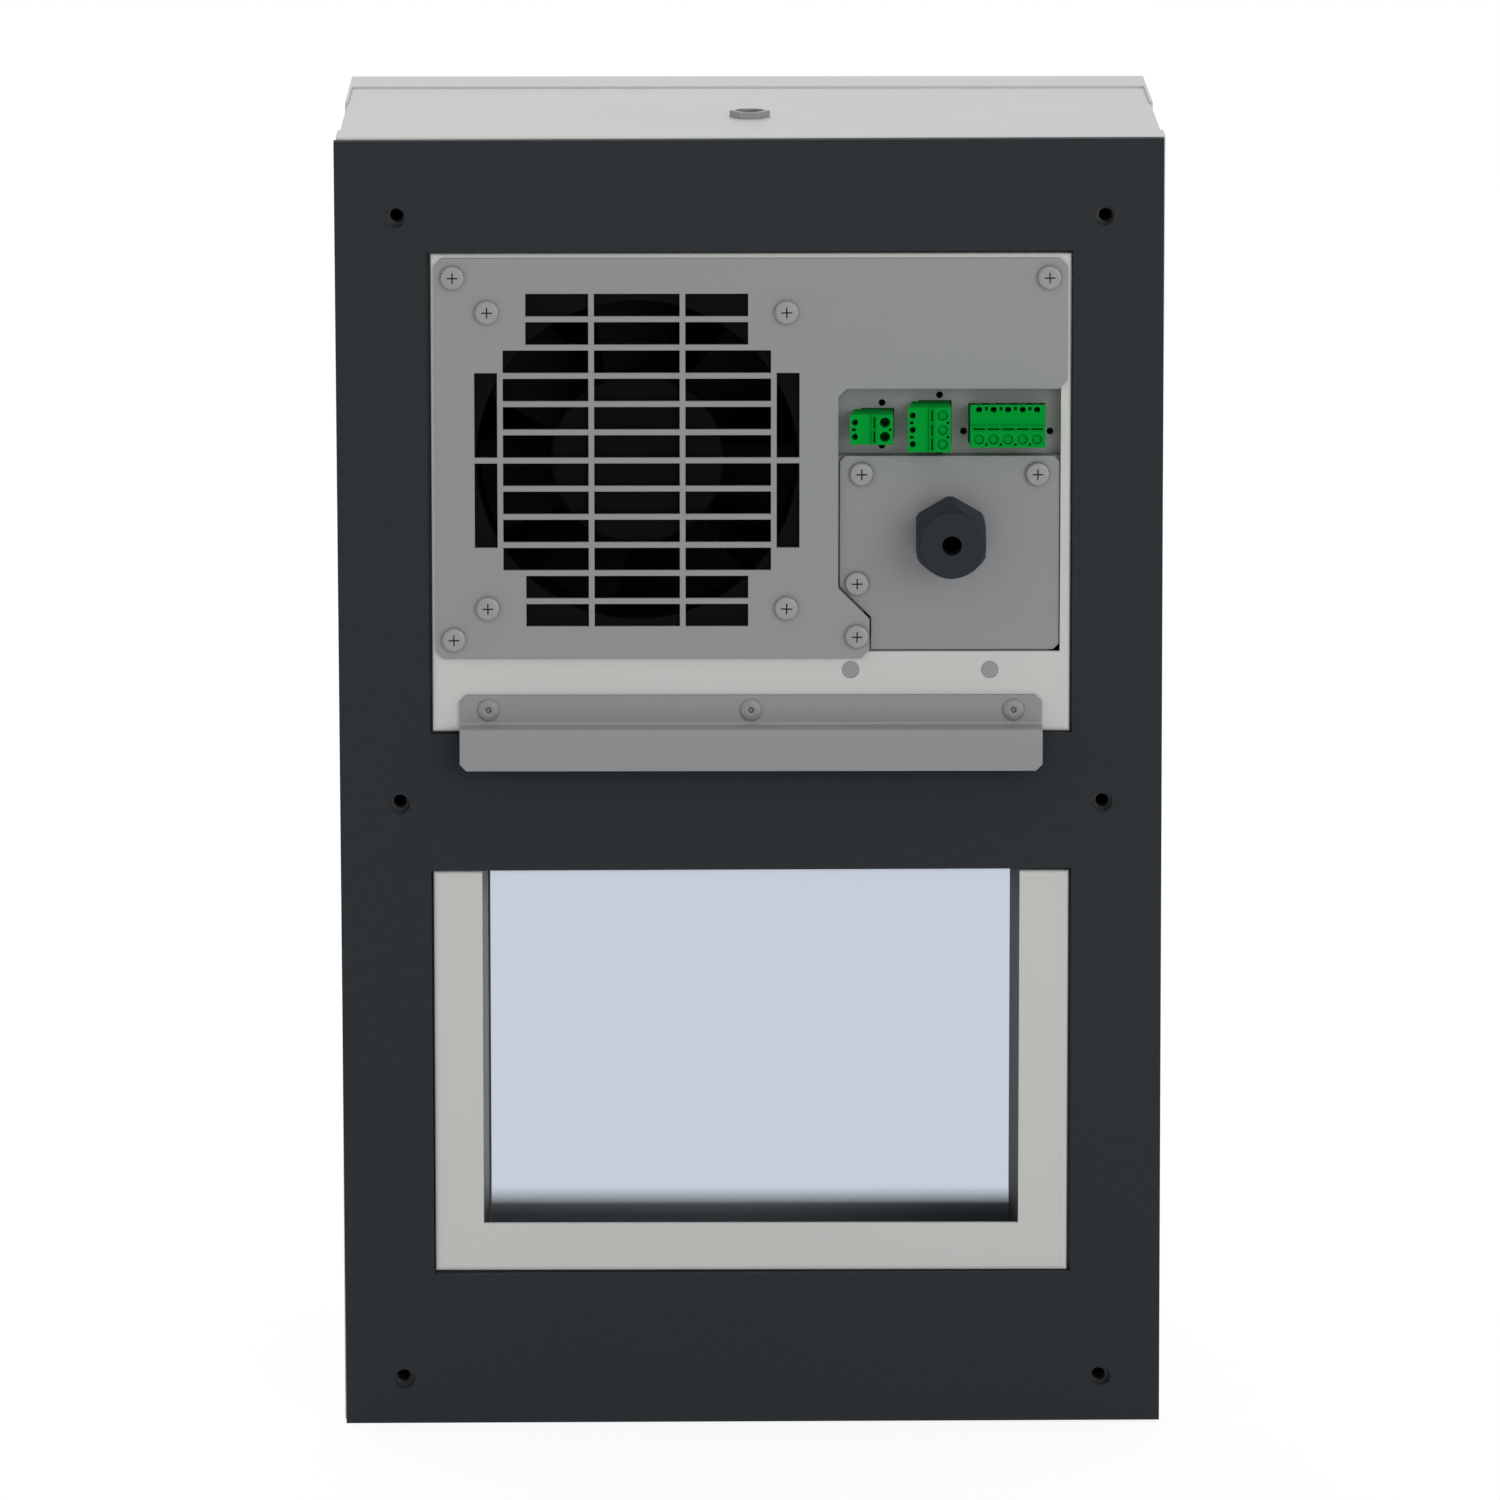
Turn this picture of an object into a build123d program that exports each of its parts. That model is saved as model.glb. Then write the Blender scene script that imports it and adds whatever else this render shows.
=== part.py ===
from build123d import *
import os
from math import cos, radians, sin

# Enclosure cooling unit that hangs on a wall of the enclosure, in millimetres
# +Z is up and +Y runs from the enclosure into the unit
# The origin is the centre of the six fixing points, on the rear face of the mounting pan

# Fits, cutting and turns
gap = 0.3
fit = 0.05
overrun = 1.0
quarter_turn = 90
half_turn = 180
full_turn = 360
hexagon_count = 6

# Casing outline and fixing pattern
casing_width = 290.0
casing_height = 461.0
casing_depth = 185.0
casing_rise = 5.5
pattern_side_inset = 21.0
pattern_end_inset = 22.0

# Mounting pan
pan_sheet = 1.5
pan_lip = 20.0
pan_bend = 2.0
panel_rise = 4.0
panel_bend = 2.0

# Gasket and its two windows
gasket_thickness = 5.0
gasket_end_gap = 0.5
gasket_window_gap = 0.7
gasket_turn = 0.17
gasket_hole_radius = 3.65
window_width = 225.0
upper_window_low = 25.5
upper_window_height = 170.0
lower_window_low = -169.5
lower_window_height = 145.0

# Threaded mounting inserts
insert_shank_radius = 3.6
insert_body_radius = 5.0
insert_thread_radius = 2.5
insert_length = 12.0

# Fan plate with its stamped guard
fan_plate_sheet = 1.5
fan_plate_margin = 1.5
fan_plate_height = 142.0
fan_plate_clip = 3.0
notch_left = 30.65
notch_top = 147.8
notch_clip = 2.9
foot_right = 41.7
foot_top = 66.0
slot_length = 30.0
slot_height = 8.0
slot_bar = 2.0
slot_short = 22.0
slot_rows = 12
short_rows = (0, 1, 10, 11)

# Plate screws and rivets
screw_head_radius = 4.3
screw_head_height = 2.2
screw_head_bevel = 0.8
screw_shank_radius = 2.0
plate_screw_length = 8.0
plate_screw_inset = 6.5
plate_screw_drop = 6.8
foot_screw_inset = 4.4
foot_screw_rise = 7.9

# Fans, as one square axial type in two depths
fan_size = 119.0
fan_corner = 6.0
fan_bore_radius = 56.5
fan_ring_wall = 3.0
fan_flange = 4.0
fan_pitch = 105.0
fan_hole_radius = 2.15
fan_hub_radius = 30.5
fan_tip_gap = 1.0
fan_blade_sheet = 1.6
fan_blade_count = 7
fan_root_chord = 30.0
fan_tip_chord = 36.0
fan_root_pitch = 44.0
fan_tip_pitch = 24.0
fan_stator = 4.0
fan_strut = 5.0
strut_angles = (45, 135)
fan_shaft_radius = 2.0
fan_hub_setback = 1.5
fan_opening_gap = 0.75
cold_fan_x = -40.0
cold_fan_z = 122.5
cold_fan_depth = 38.0
fan_screw_length = 12.0

# Electrical bay behind its opening in the pan
bay_left = 28.0
bay_right = 108.7
bay_low = 54.2
bay_high = 152.0
bay_tuck = 1.0
box_wall = 1.2
box_depth = 50.0
box_high_gap = 1.0
box_low_gap = 1.5
ledge_width = 6.0
ledge_wide = 12.0
ledge_corner = 4.0

# Gland plate, set into the bay
gland_plate_sheet = 1.5
gland_plate_setback = 1.0
gland_plate_top = 123.7
gland_plate_side_gap = 0.3
gland_plate_low_gap = 0.6
gland_plate_left_gap = 0.55
gland_plate_clip = 2.0
gland_screw_high = 6.4
gland_screw_side = 7.7
gland_screw_low_x = 37.35
gland_screw_low_z = 78.4

# Cable gland
gland_x = 70.0
gland_z = 96.0
gland_flats = 24.0
gland_flange = 6.0
gland_thread_radius = 9.9
gland_neck_radius = 8.6
gland_neck = 9.0
gland_bore_radius = 6.5
gland_tail = 9.0
gland_cable_radius = 3.45
gland_corner_radius = 13.3
gland_nut_length = 20.7
gland_nut_face_radius = 11.5
gland_nut_crown = 10.0
gland_nut_round = 0.9
gland_seal_head_radius = 7.6
gland_seal_head = 2.6
gland_lock_flats = 26.0
gland_lock_height = 5.0

# Connector panel, set back in the bay
panel_sheet = 1.2
panel_setback = 8.0
pole_pitch = 5.08
plug_left = 11.45
plug_left_back = 9.5
plug_right = 3.7
plug_dip = 0.9
plug_step = 4.3
plug_step_width = 0.4
plug_tail_low = 6.3
plug_tail_high = 3.3
plug_tail_length = 12.5
entry_radius = 1.8
entry_place = 0.8
release_place = 2.9
release_width = 0.7
release_length = 4.0
release_depth = 0.6
release_rim = 0.35
release_rim_height = 0.2
probe_radius = 1.1
probe_place = 9.7
probe_edge = 8.75
probe_depth = 6.0
key_place = 10.1
key_width = 1.35
key_height = 1.0
key_depth = 1.2
dot_place = 2.6
dot_size = 0.9
rib_width = 2.4
rib_height = 0.45
rib_length = 3.0
pin_size = 1.0
pin_reach = 10.0
socket_size = 1.6
socket_depth = 12.0
header_wall = 1.6
header_floor = 2.0
header_ear = 4.95
header_ear_land = 2.4
header_ear_sheet = 3.0
header_hole_radius = 1.2
cutout_high = 4.2
short_cutout_low = 7.3
long_cutout_low = 9.9

# Places of the plugs, as the middle of their pin rows, and how far they stand out of the panel
short_plug_end = 0.25
long_plug_end = 0.5
short_plug_count = 2
short_plug_x = 46.1
short_plug_z = 134.0
short_plug_reach = 14.0
short_plug_entry = 9.0
middle_plug_count = 3
middle_plug_x = 66.3
middle_plug_z = 134.2
middle_plug_reach = 16.0
long_plug_count = 5
long_plug_x = 90.0
long_plug_z = 131.4
long_plug_reach = 14.5
shallow_entry = 0.8

# Plugs: poles, place in X and Z, turn, width past the end poles, reach out of the panel,
# depth of the wire entries and low edge of the cut-out
plug_table = {
    "2_pole": (
        short_plug_count,
        short_plug_x,
        short_plug_z,
        0,
        short_plug_end,
        short_plug_reach,
        short_plug_entry,
        short_cutout_low,
    ),
    "3_pole": (
        middle_plug_count,
        middle_plug_x,
        middle_plug_z,
        0,
        short_plug_end,
        middle_plug_reach,
        shallow_entry,
        short_cutout_low,
    ),
    "5_pole": (
        long_plug_count,
        long_plug_x,
        long_plug_z,
        quarter_turn,
        long_plug_end,
        long_plug_reach,
        shallow_entry,
        long_cutout_low,
    ),
}

# Hook bracket
bracket_width = 205.0
bracket_top = 38.9
bracket_web_top = 28.3
bracket_low = 13.6
bracket_reach = 10.4
bracket_sheet = 1.5
bracket_bend = 1.0
bracket_clip = 2.3
rivet_head_radius = 4.0
rivet_head_height = 1.2
rivet_shank_radius = 2.05
rivet_tail_radius = 3.0
rivet_tail = 2.0
rivet_bore_radius = 1.0
rivet_row_drop = 5.3
rivet_pitch = 92.5

# Flush studs beside the bracket
stud_x = (35.1, 84.1)
stud_z = 47.7
stud_head_radius = 3.0
stud_shank_radius = 2.0
stud_length = 8.0

# Discharge duct
duct_width = 190.0
duct_low = -152.1
duct_depth = 103.0
duct_floor = -185.0
duct_round = 30.0
duct_sheet = 1.2
duct_top = -20.0
foam = 9.5

# Partition with its step
partition_sheet = 1.5
partition_bend = 2.0
partition_upper = 78.0
step_height = 50.0

# Evaporator, lying aslant across the air path
coil_length = 176.0
coil_slant_length = 95.0
coil_thickness = 30.0
coil_slant = 22.0
coil_y = 53.0
coil_z = 14.0
coil_fin_pitch = 8.0
coil_fin = 2.4
coil_fin_reach = 8.0
coil_tube_radius = 4.75
coil_tube_pitch = 22.0
coil_tube_count = 4
coil_tube_stub = 4.0
coil_plate = 1.0
coil_plate_gap = 1.4
coil_chamber_top = 48.0
coil_chamber_low = -19.0

# Condensate tray, hose and spigot
tray_width = 23.0
tray_height = 14.0
tray_wall = 1.0
tray_top = -20.5
tray_back_gap = 0.5
hose_radius = 5.0
hose_x = 78.0
drain_y = 128.0
hose_bend = 6.0
spigot_radius = 6.5
spigot_flange = 2.0
spigot_flange_radius = 10.0
spigot_lift = 10.0

# Housing wrap and front cover
wrap_sheet = 1.2
wrap_step = 0.75
wrap_tongue = 14.0
wrap_joggle = 1.7
cover_sheet = 1.0
cover_bend = 2.5
cover_side_edge = 102.0
cover_top_edge = 151.0
cover_tongue = 12.0

# Openings in the front cover
intake_width = 190.0
intake_low = -200.0
intake_high = -30.0
grille_slot = 5.0
grille_pitch = 10.0
grille_bar = 10.0
exhaust_low = 75.0
exhaust_high = 205.0
louvre_pitch = 13.0
louvre_slot = 5.0
louvre_hood = 4.0
louvre_sheet = 1.0

# Cover screws and lifting insert
cover_screw_y = 150.0
cover_screw_drop = 6.0
cover_screw_head_radius = 3.6
cover_screw_head = 0.8
cover_screw_radius = 1.8
cover_screw_length = 7.0
lift_y = 64.0
lift_flats = 12.4
lift_height = 2.4
lift_thread_radius = 5.0
lift_body_radius = 6.0
lift_length = 14.0

# Condenser with shroud and fan
shroud_sheet = 1.2
shroud_y = 156.0
shroud_top = -10.0
condenser_width = 190.0
condenser_low = -205.0
condenser_high = -25.0
condenser_depth = 16.0
condenser_tube = 2.0
condenser_tube_count = 8
condenser_fin = 1.2
condenser_fin_pitch = 10.0
header_tube_radius = 7.0
warm_fan_depth = 25.0

# Compressor on the step
compressor_x = -45.0
compressor_y = 131.0
compressor_radius = 46.0
compressor_body = 92.0
compressor_dome = 22.0
compressor_dome_angle = 45
compressor_base = 100.0
compressor_base_sheet = 3.0
compressor_seam = 2.0
compressor_seam_height = 4.0
foot_pitch = 80.0
foot_height = 9.0
foot_radius = 7.0
foot_hole_radius = 3.1
foot_bolt_radius = 3.0
foot_bolt_head_radius = 5.5
foot_bolt_head = 4.0
terminal_cover_width = 34.0
terminal_cover_depth = 16.0
terminal_cover_height = 40.0
stub_radius = 6.0
stub_length = 10.0
side_stub_height = 40.0

# Refrigerant lines
discharge_radius = 3.0
discharge_shift = 20.0
discharge_rise = 12.0
liquid_radius = 3.0
drier_radius = 9.5
drier_low = 60.0
drier_length = 90.0
drier_taper = 8.0
capillary_radius = 1.5
capillary_rise = 25.0
suction_radius = 4.75
suction_inset = 23.0
suction_lead = 28.5
suction_bend = 7.1
capillary_inset = 33.0
capillary_bend = 4.5
discharge_bend = 9.0

# Boards and capacitor in the terminal box
board_sheet = 1.6
board_width = 72.0
board_height = 60.0
board_lift = 8.0
board_x = 69.0
board_z = 84.0
standoff_radius = 3.0
standoff_inset = 4.0
relay_width = 12.0
relay_length = 28.0
relay_height = 15.0
relay_pitch = 16.0
relay_count = 2
relay_x = 46.0
transformer_size = 26.0
transformer_height = 20.0
transformer_x = 88.0
transformer_chamfer = 1.3
capacitor_radius = 12.0
capacitor_length = 52.0
capacitor_x = 69.0
capacitor_z = 139.0
capacitor_chamfer = 1.0

# Places that follow from the sizes above
pattern_width = casing_width - 2 * pattern_side_inset
pattern_height = casing_height - 2 * pattern_end_inset
gasket_height = casing_height - 2 * gasket_end_gap
suction_x = casing_width / 2 - suction_inset
capillary_x = casing_width / 2 - capillary_inset
casing_low = casing_rise - casing_height / 2
casing_high = casing_rise + casing_height / 2
panel_face = -panel_rise
panel_back = panel_face + pan_sheet
plate_face = panel_face - fan_plate_sheet
fan_plate_half = window_width / 2 - fan_plate_margin
fan_plate_top = upper_window_low + upper_window_height - fan_plate_margin
fan_plate_low = fan_plate_top - fan_plate_height
foot_slope_top = foot_top + foot_right - notch_left
gland_plate_face = panel_face + gland_plate_setback
gland_plate_back = gland_plate_face + gland_plate_sheet
box_left = bay_left - box_wall - gap
box_right = bay_right + box_wall + gap
box_low = bay_low - box_wall - box_low_gap
box_high = bay_high + box_wall + box_high_gap
box_back = box_depth - box_wall
connector_face = panel_face + panel_setback
connector_back = connector_face + panel_sheet
step_top = step_height + partition_sheet
partition_lower = duct_depth + duct_sheet + gap + foam + gap
warm_wall = partition_lower + partition_sheet
tongue_inset = pan_sheet + gap
cover_tongue_inset = cover_sheet + gap
fixing_points = [
    (x, z)
    for x in (-pattern_width / 2, pattern_width / 2)
    for z in (-pattern_height / 2, 0, pattern_height / 2)
]
foot_screw = (foot_right - foot_screw_inset, fan_plate_low + foot_screw_rise)
plate_screws = [
    (-fan_plate_half + plate_screw_inset, fan_plate_top - plate_screw_drop),
    (fan_plate_half - plate_screw_inset, fan_plate_top - plate_screw_drop),
    (-fan_plate_half + plate_screw_inset, fan_plate_low + plate_screw_drop),
    foot_screw,
]
gland_screws = [
    (notch_left + gland_plate_left_gap + gland_screw_side, gland_plate_top - gland_screw_high),
    (bay_right - gland_plate_side_gap - gland_screw_side, gland_plate_top - gland_screw_high),
    (gland_screw_low_x, gland_screw_low_z),
]
rivets = [(x, bracket_top - rivet_row_drop) for x in (-rivet_pitch, 0, rivet_pitch)]
condenser_z = (condenser_low + condenser_high) / 2
condenser_face = shroud_y + shroud_sheet
condenser_y = condenser_face + condenser_depth / 2
header_x = condenser_width / 2 + header_tube_radius
discharge_x = compressor_x - discharge_shift


# Box between two limits along each axis
def slab(x, y, z):
    middle = Pos((x[0] + x[1]) / 2, (y[0] + y[1]) / 2, (z[0] + z[1]) / 2)
    return middle * Box(x[1] - x[0], y[1] - y[0], z[1] - z[0])


# Outline in X and Z, pushed out between two depths
def plate(outline, near, far):
    rear = Plane(origin=(0, far, 0), x_dir=(1, 0, 0), z_dir=(0, -1, 0))
    return extrude(rear * outline, far - near)


# Rectangle in X and Z from its limits
def window(x, z):
    return Pos((x[0] + x[1]) / 2, (z[0] + z[1]) / 2) * Rectangle(x[1] - x[0], z[1] - z[0])


# Closed outline through corner points
def outline(points):
    return make_face(Polyline(*points, close=True))


# Outline in Y and Z, pushed out between two places across the unit
def bar(profile, left, right):
    return extrude(Plane.YZ.offset(left) * profile, right - left)


# Round bar along the depth
def rod(x, z, near, far, radius):
    return plate(Pos(x, z) * Circle(radius), near, far)


# Round bar along the height
def post(x, y, low, high, radius):
    return Pos(x, y, (low + high) / 2) * Cylinder(radius, high - low)


# Hexagonal bar along the depth, with a corner at the top
def hex_bar(x, z, near, far, flats):
    corner = RegularPolygon(flats / 2, hexagon_count, major_radius=False, rotation=quarter_turn)
    return plate(Pos(x, z) * corner, near, far)


# Casing outline, drawn in from the outside by an inset
def casing(inset):
    return Pos(0, casing_rise) * Rectangle(casing_width - 2 * inset, casing_height - 2 * inset)


# Ring that follows the casing outline
def casing_ring(inset, wall, near, far):
    return plate(casing(inset) - casing(inset + wall), near, far)


# Solid of revolution about a line along the depth, from its outline in radius and depth
def turned(profile, x, z):
    spun = revolve(Plane.XY * outline(profile), Axis.Y)
    return Pos(x, 0, z) * spun


# Round tube along a route with bends of one radius
def tube(points, radius, bend):
    route = FilletPolyline(*points, radius=bend)
    section = Plane(origin=route @ 0, z_dir=route % 0) * Circle(radius)
    return sweep(section, path=route)


# Panel pressed out of the pan into a gasket window
def raised_panel(low, height):
    half = window_width / 2
    z = (low, low + height)
    outer = plate(window((-half, half), z), panel_face, pan_sheet)
    outer = fillet(outer.faces().sort_by(Axis.Y)[0].edges(), panel_bend)
    inner_half = half - pan_sheet
    inner_z = (z[0] + pan_sheet, z[1] - pan_sheet)
    inner = plate(window((-inner_half, inner_half), inner_z), panel_back, pan_sheet + overrun)
    inner = fillet(inner.faces().sort_by(Axis.Y)[0].edges(), panel_bend - pan_sheet)
    return outer, inner


# Opening of the electrical bay, cut round the land that carries the foot of the fan plate
def bay_opening():
    land_right = foot_right - bay_tuck
    land_top = foot_slope_top - (bay_left - notch_left) - bay_tuck
    land_shoulder = land_top - (land_right - bay_left)
    return outline([
        (bay_left, bay_high),
        (bay_right, bay_high),
        (bay_right, bay_low),
        (land_right, bay_low),
        (land_right, land_shoulder),
        (bay_left, land_top),
    ])


# Mounting pan, folded from sheet, with two pressed-out panels
def mounting_pan():
    pan = plate(casing(0), 0, pan_lip)
    pan = fillet(pan.faces().sort_by(Axis.Y)[0].edges(), pan_bend)
    pan -= plate(casing(pan_sheet), pan_sheet, pan_lip + overrun)
    hollows = []
    for low, height in (
        (upper_window_low, upper_window_height),
        (lower_window_low, lower_window_height),
    ):
        outer, inner = raised_panel(low, height)
        pan += outer
        hollows.append(inner)
    pan -= hollows
    near = panel_face - overrun
    far = pan_sheet + overrun
    half_opening = fan_size / 2 + fan_opening_gap
    fan_opening = window(
        (cold_fan_x - half_opening, cold_fan_x + half_opening),
        (cold_fan_z - half_opening, cold_fan_z + half_opening),
    )
    discharge = window(
        (-duct_width / 2, duct_width / 2),
        (duct_low, lower_window_low + lower_window_height + gasket_window_gap),
    )
    cuts = [plate(fan_opening, near, far), plate(bay_opening(), near, far), plate(discharge, near, far)]
    cuts += [rod(x, z, near, far, insert_shank_radius + fit) for x, z in fixing_points]
    cuts += [rod(x, z, near, far, screw_shank_radius + fit) for x, z in plate_screws]
    cuts += [rod(x, z, near, far, rivet_shank_radius + fit) for x, z in rivets]
    cuts += [rod(x, stud_z, near, far, stud_head_radius + fit) for x in stud_x]
    return pan - cuts


# Foam gasket, laid on slightly crooked
def gasket():
    sheet = Pos(0, casing_rise) * Rectangle(casing_width, gasket_height)
    half = window_width / 2 + gasket_window_gap
    for low, height in (
        (upper_window_low, upper_window_height),
        (lower_window_low, lower_window_height),
    ):
        sheet -= window((-half, half), (low - gasket_window_gap, low + height + gasket_window_gap))
    sheet -= [Pos(x, z) * Circle(gasket_hole_radius) for x, z in fixing_points]
    return Rot(0, -gasket_turn, 0) * plate(sheet, -gasket_thickness, 0)


# Threaded inserts pressed into the pan
def mounting_inserts():
    inserts = []
    for x, z in fixing_points:
        insert = rod(x, z, 0, pan_sheet, insert_shank_radius)
        insert += rod(x, z, pan_sheet, insert_length, insert_body_radius)
        insert -= rod(x, z, -overrun, insert_length + overrun, insert_thread_radius)
        inserts.append(insert)
    return inserts


# Slots of the guard, centred on the fan
def guard_slots():
    column_pitch = slot_length + slot_bar
    row_pitch = slot_height + slot_bar
    top_row = (slot_rows - 1) * row_pitch / 2
    slots = []
    for row in range(slot_rows):
        z = top_row - row * row_pitch
        slots.append(Pos(0, z) * Rectangle(slot_length, slot_height))
        length = slot_short if row in short_rows else slot_length
        inner_edge = slot_length / 2 + slot_bar
        for side in (-1, 1):
            slots.append(Pos(side * (inner_edge + length / 2), z) * Rectangle(length, slot_height))
    side_x = slot_length / 2 + column_pitch + slot_bar + slot_height / 2
    side_z = (slot_length + slot_bar) / 2
    for side in (-1, 1):
        for end in (-1, 1):
            slots.append(Pos(side * side_x, end * side_z) * Rectangle(slot_height, slot_length))
    return [Pos(cold_fan_x, cold_fan_z) * slot for slot in slots]


# Fan plate, stamped with the guard and stepped round the electrical bay
def fan_plate():
    half = fan_plate_half
    clip = fan_plate_clip
    face = outline([
        (-half + clip, fan_plate_top),
        (half - clip, fan_plate_top),
        (half, fan_plate_top - clip),
        (half, notch_top + clip),
        (half - clip, notch_top),
        (notch_left + notch_clip, notch_top),
        (notch_left, notch_top - notch_clip),
        (notch_left, foot_slope_top),
        (foot_right, foot_top),
        (foot_right, fan_plate_low + clip),
        (foot_right - clip, fan_plate_low),
        (-half + clip, fan_plate_low),
        (-half, fan_plate_low + clip),
        (-half, fan_plate_top - clip),
    ])
    face -= guard_slots()
    holes = plate_screws + fan_corners(cold_fan_x, cold_fan_z)
    face -= [Pos(x, z) * Circle(screw_shank_radius + fit) for x, z in holes]
    return plate(face, plate_face, panel_face)


# Pan-head screw that points into the unit
def screw(x, z, seat, length):
    top = seat - screw_head_height
    head = rod(x, z, top, seat, screw_head_radius)
    head = chamfer(head.edges().group_by(Axis.Y)[0], screw_head_bevel)
    return head + rod(x, z, seat, seat + length, screw_shank_radius)


# Corner holes of a fan
def fan_corners(x, z):
    half = fan_pitch / 2
    return [(x + i * half, z + k * half) for i in (-1, 1) for k in (-1, 1)]


# Square fan frame with flanges, bore ring, struts and motor seat
def fan_frame(x, z, near, depth):
    far = near + depth
    square = RectangleRounded(fan_size, fan_size, fan_corner)
    bore = Circle(fan_bore_radius)
    flange = square - bore
    ring = (Circle(fan_bore_radius + fan_ring_wall) & square) - bore
    frame = plate(flange, near, near + fan_flange)
    frame += plate(flange, far - fan_flange, far)
    frame += plate(ring, near, far)
    seat = far - fan_stator
    struts = Circle(fan_hub_radius)
    for angle in strut_angles:
        struts += Rot(0, 0, angle) * Rectangle(2 * fan_bore_radius + fan_ring_wall, fan_strut)
    frame += plate(struts, seat, far)
    frame -= plate(Circle(fan_shaft_radius + fit), seat - overrun, far + overrun)
    frame -= [rod(i, k, near - overrun, far + overrun, fan_hole_radius) for i, k in fan_corners(0, 0)]
    return Pos(x, 0, z) * frame


# Bladed rotor with its hub and shaft
def fan_rotor(x, z, near, depth):
    front = near + fan_hub_setback
    back = near + depth - fan_stator - gap
    rotor = rod(0, 0, front, back, fan_hub_radius)
    rotor = fillet(rotor.edges().group_by(Axis.Y)[0], fan_hub_setback)
    rotor += rod(0, 0, back, near + depth, fan_shaft_radius)
    tip_radius = fan_bore_radius - fan_tip_gap
    middle = (front + back) / 2
    limit = rod(0, 0, front, back, tip_radius)
    root = Plane(origin=(0, middle, fan_hub_radius - fan_blade_sheet), x_dir=(1, 0, 0), z_dir=(0, 0, 1))
    tip = Plane(origin=(0, middle, fan_bore_radius + fan_tip_gap), x_dir=(1, 0, 0), z_dir=(0, 0, 1))
    blade = loft([
        (root * (Rot(0, 0, fan_root_pitch) * Rectangle(fan_root_chord, fan_blade_sheet))).face(),
        (tip * (Rot(0, 0, fan_tip_pitch) * Rectangle(fan_tip_chord, fan_blade_sheet))).face(),
    ], ruled=True)
    blade = blade & limit
    step = full_turn / fan_blade_count
    rotor += [Rot(0, number * step, 0) * blade for number in range(fan_blade_count)]
    return Pos(x, 0, z) * rotor


# Terminal box behind the bay, with the ledge that the gland plate is screwed to
def terminal_box():
    outer = slab((box_left, box_right), (panel_back, box_depth), (box_low, box_high))
    inner_x = (box_left + box_wall, box_right - box_wall)
    inner_z = (box_low + box_wall, box_high - box_wall)
    box = outer - slab(inner_x, (panel_back - overrun, box_back), inner_z)
    ledge = window(inner_x, (inner_z[0], gland_plate_top))
    ledge -= window(
        (inner_x[0] + ledge_wide, inner_x[1] - ledge_width),
        (inner_z[0] + ledge_width, gland_plate_top - ledge_wide),
    )
    ledge -= window((inner_x[1] - ledge_corner, inner_x[1]), (inner_z[0], inner_z[0] + ledge_corner))
    box += plate(ledge, gland_plate_back, gland_plate_back + box_wall)
    near = panel_back - overrun
    far = box_back - box_wall
    holes = [rod(x, z, near, far, screw_shank_radius + fit) for x, z in gland_screws]
    holes.append(rod(*foot_screw, near, far, screw_shank_radius + gap))
    bend_reach = (near, panel_back + panel_bend - pan_sheet)
    bend_room = slab((inner_x[1], box_right + overrun), bend_reach, (box_low - overrun, box_high + overrun))
    return box - holes - bend_room


# Gland plate, set into the bay
def gland_plate():
    left = notch_left + gland_plate_left_gap
    right = bay_right - gland_plate_side_gap
    low = bay_low + gland_plate_low_gap
    top = gland_plate_top
    clip = gland_plate_clip
    shoulder_x = foot_right + gland_plate_left_gap
    slope_gap = gland_plate_left_gap / 2
    face = outline([
        (left + clip, top),
        (right - clip, top),
        (right, top - clip),
        (right, low + clip),
        (right - clip, low),
        (shoulder_x, low),
        (shoulder_x, foot_top + slope_gap),
        (left, foot_slope_top + slope_gap),
        (left, top - clip),
    ])
    face -= [Pos(x, z) * Circle(screw_shank_radius + fit) for x, z in gland_screws]
    face -= Pos(gland_x, gland_z) * Circle(gland_thread_radius + fit)
    return plate(face, gland_plate_face, gland_plate_back)


# Gland body: hexagon in front, neck for the dome nut, thread through the plate
def gland_body():
    front = gland_plate_face - gland_flange
    body = hex_bar(gland_x, gland_z, front, gland_plate_face, gland_flats)
    body &= rod(gland_x, gland_z, front, gland_plate_face, gland_corner_radius)
    body += rod(gland_x, gland_z, front - gland_neck, front, gland_neck_radius)
    body += rod(gland_x, gland_z, gland_plate_face, gland_plate_face + gland_tail, gland_thread_radius)
    bore = rod(
        gland_x,
        gland_z,
        front - gland_neck - overrun,
        gland_plate_face + gland_tail + overrun,
        gland_bore_radius,
    )
    return body - bore


# Dome nut of the gland: a hexagon turned down to a cone and a flat round face
def gland_nut():
    back = gland_plate_face - gland_flange - gap
    front = back - gland_nut_length
    crown = turned([
        (0, back),
        (gland_corner_radius, back),
        (gland_corner_radius, front + gland_nut_crown),
        (gland_nut_face_radius, front),
        (0, front),
    ], gland_x, gland_z)
    crown = fillet(crown.edges().group_by(Axis.Y)[0], gland_nut_round)
    nut = hex_bar(gland_x, gland_z, front, back, gland_flats) & crown
    chamber = back - gland_neck - gland_seal_head
    nut -= rod(gland_x, gland_z, chamber, back + overrun, gland_neck_radius + fit)
    return nut - rod(gland_x, gland_z, front - overrun, back, gland_cable_radius)


# Rubber seal inside the gland
def gland_seal():
    front = gland_plate_face - gland_flange - gland_neck
    seal = rod(gland_x, gland_z, front - gland_seal_head + gap, front, gland_seal_head_radius)
    seal += rod(gland_x, gland_z, front, front + gland_neck, gland_bore_radius - fit)
    near = front - gland_seal_head - overrun
    return seal - rod(gland_x, gland_z, near, front + gland_neck + overrun, gland_cable_radius)


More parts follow.
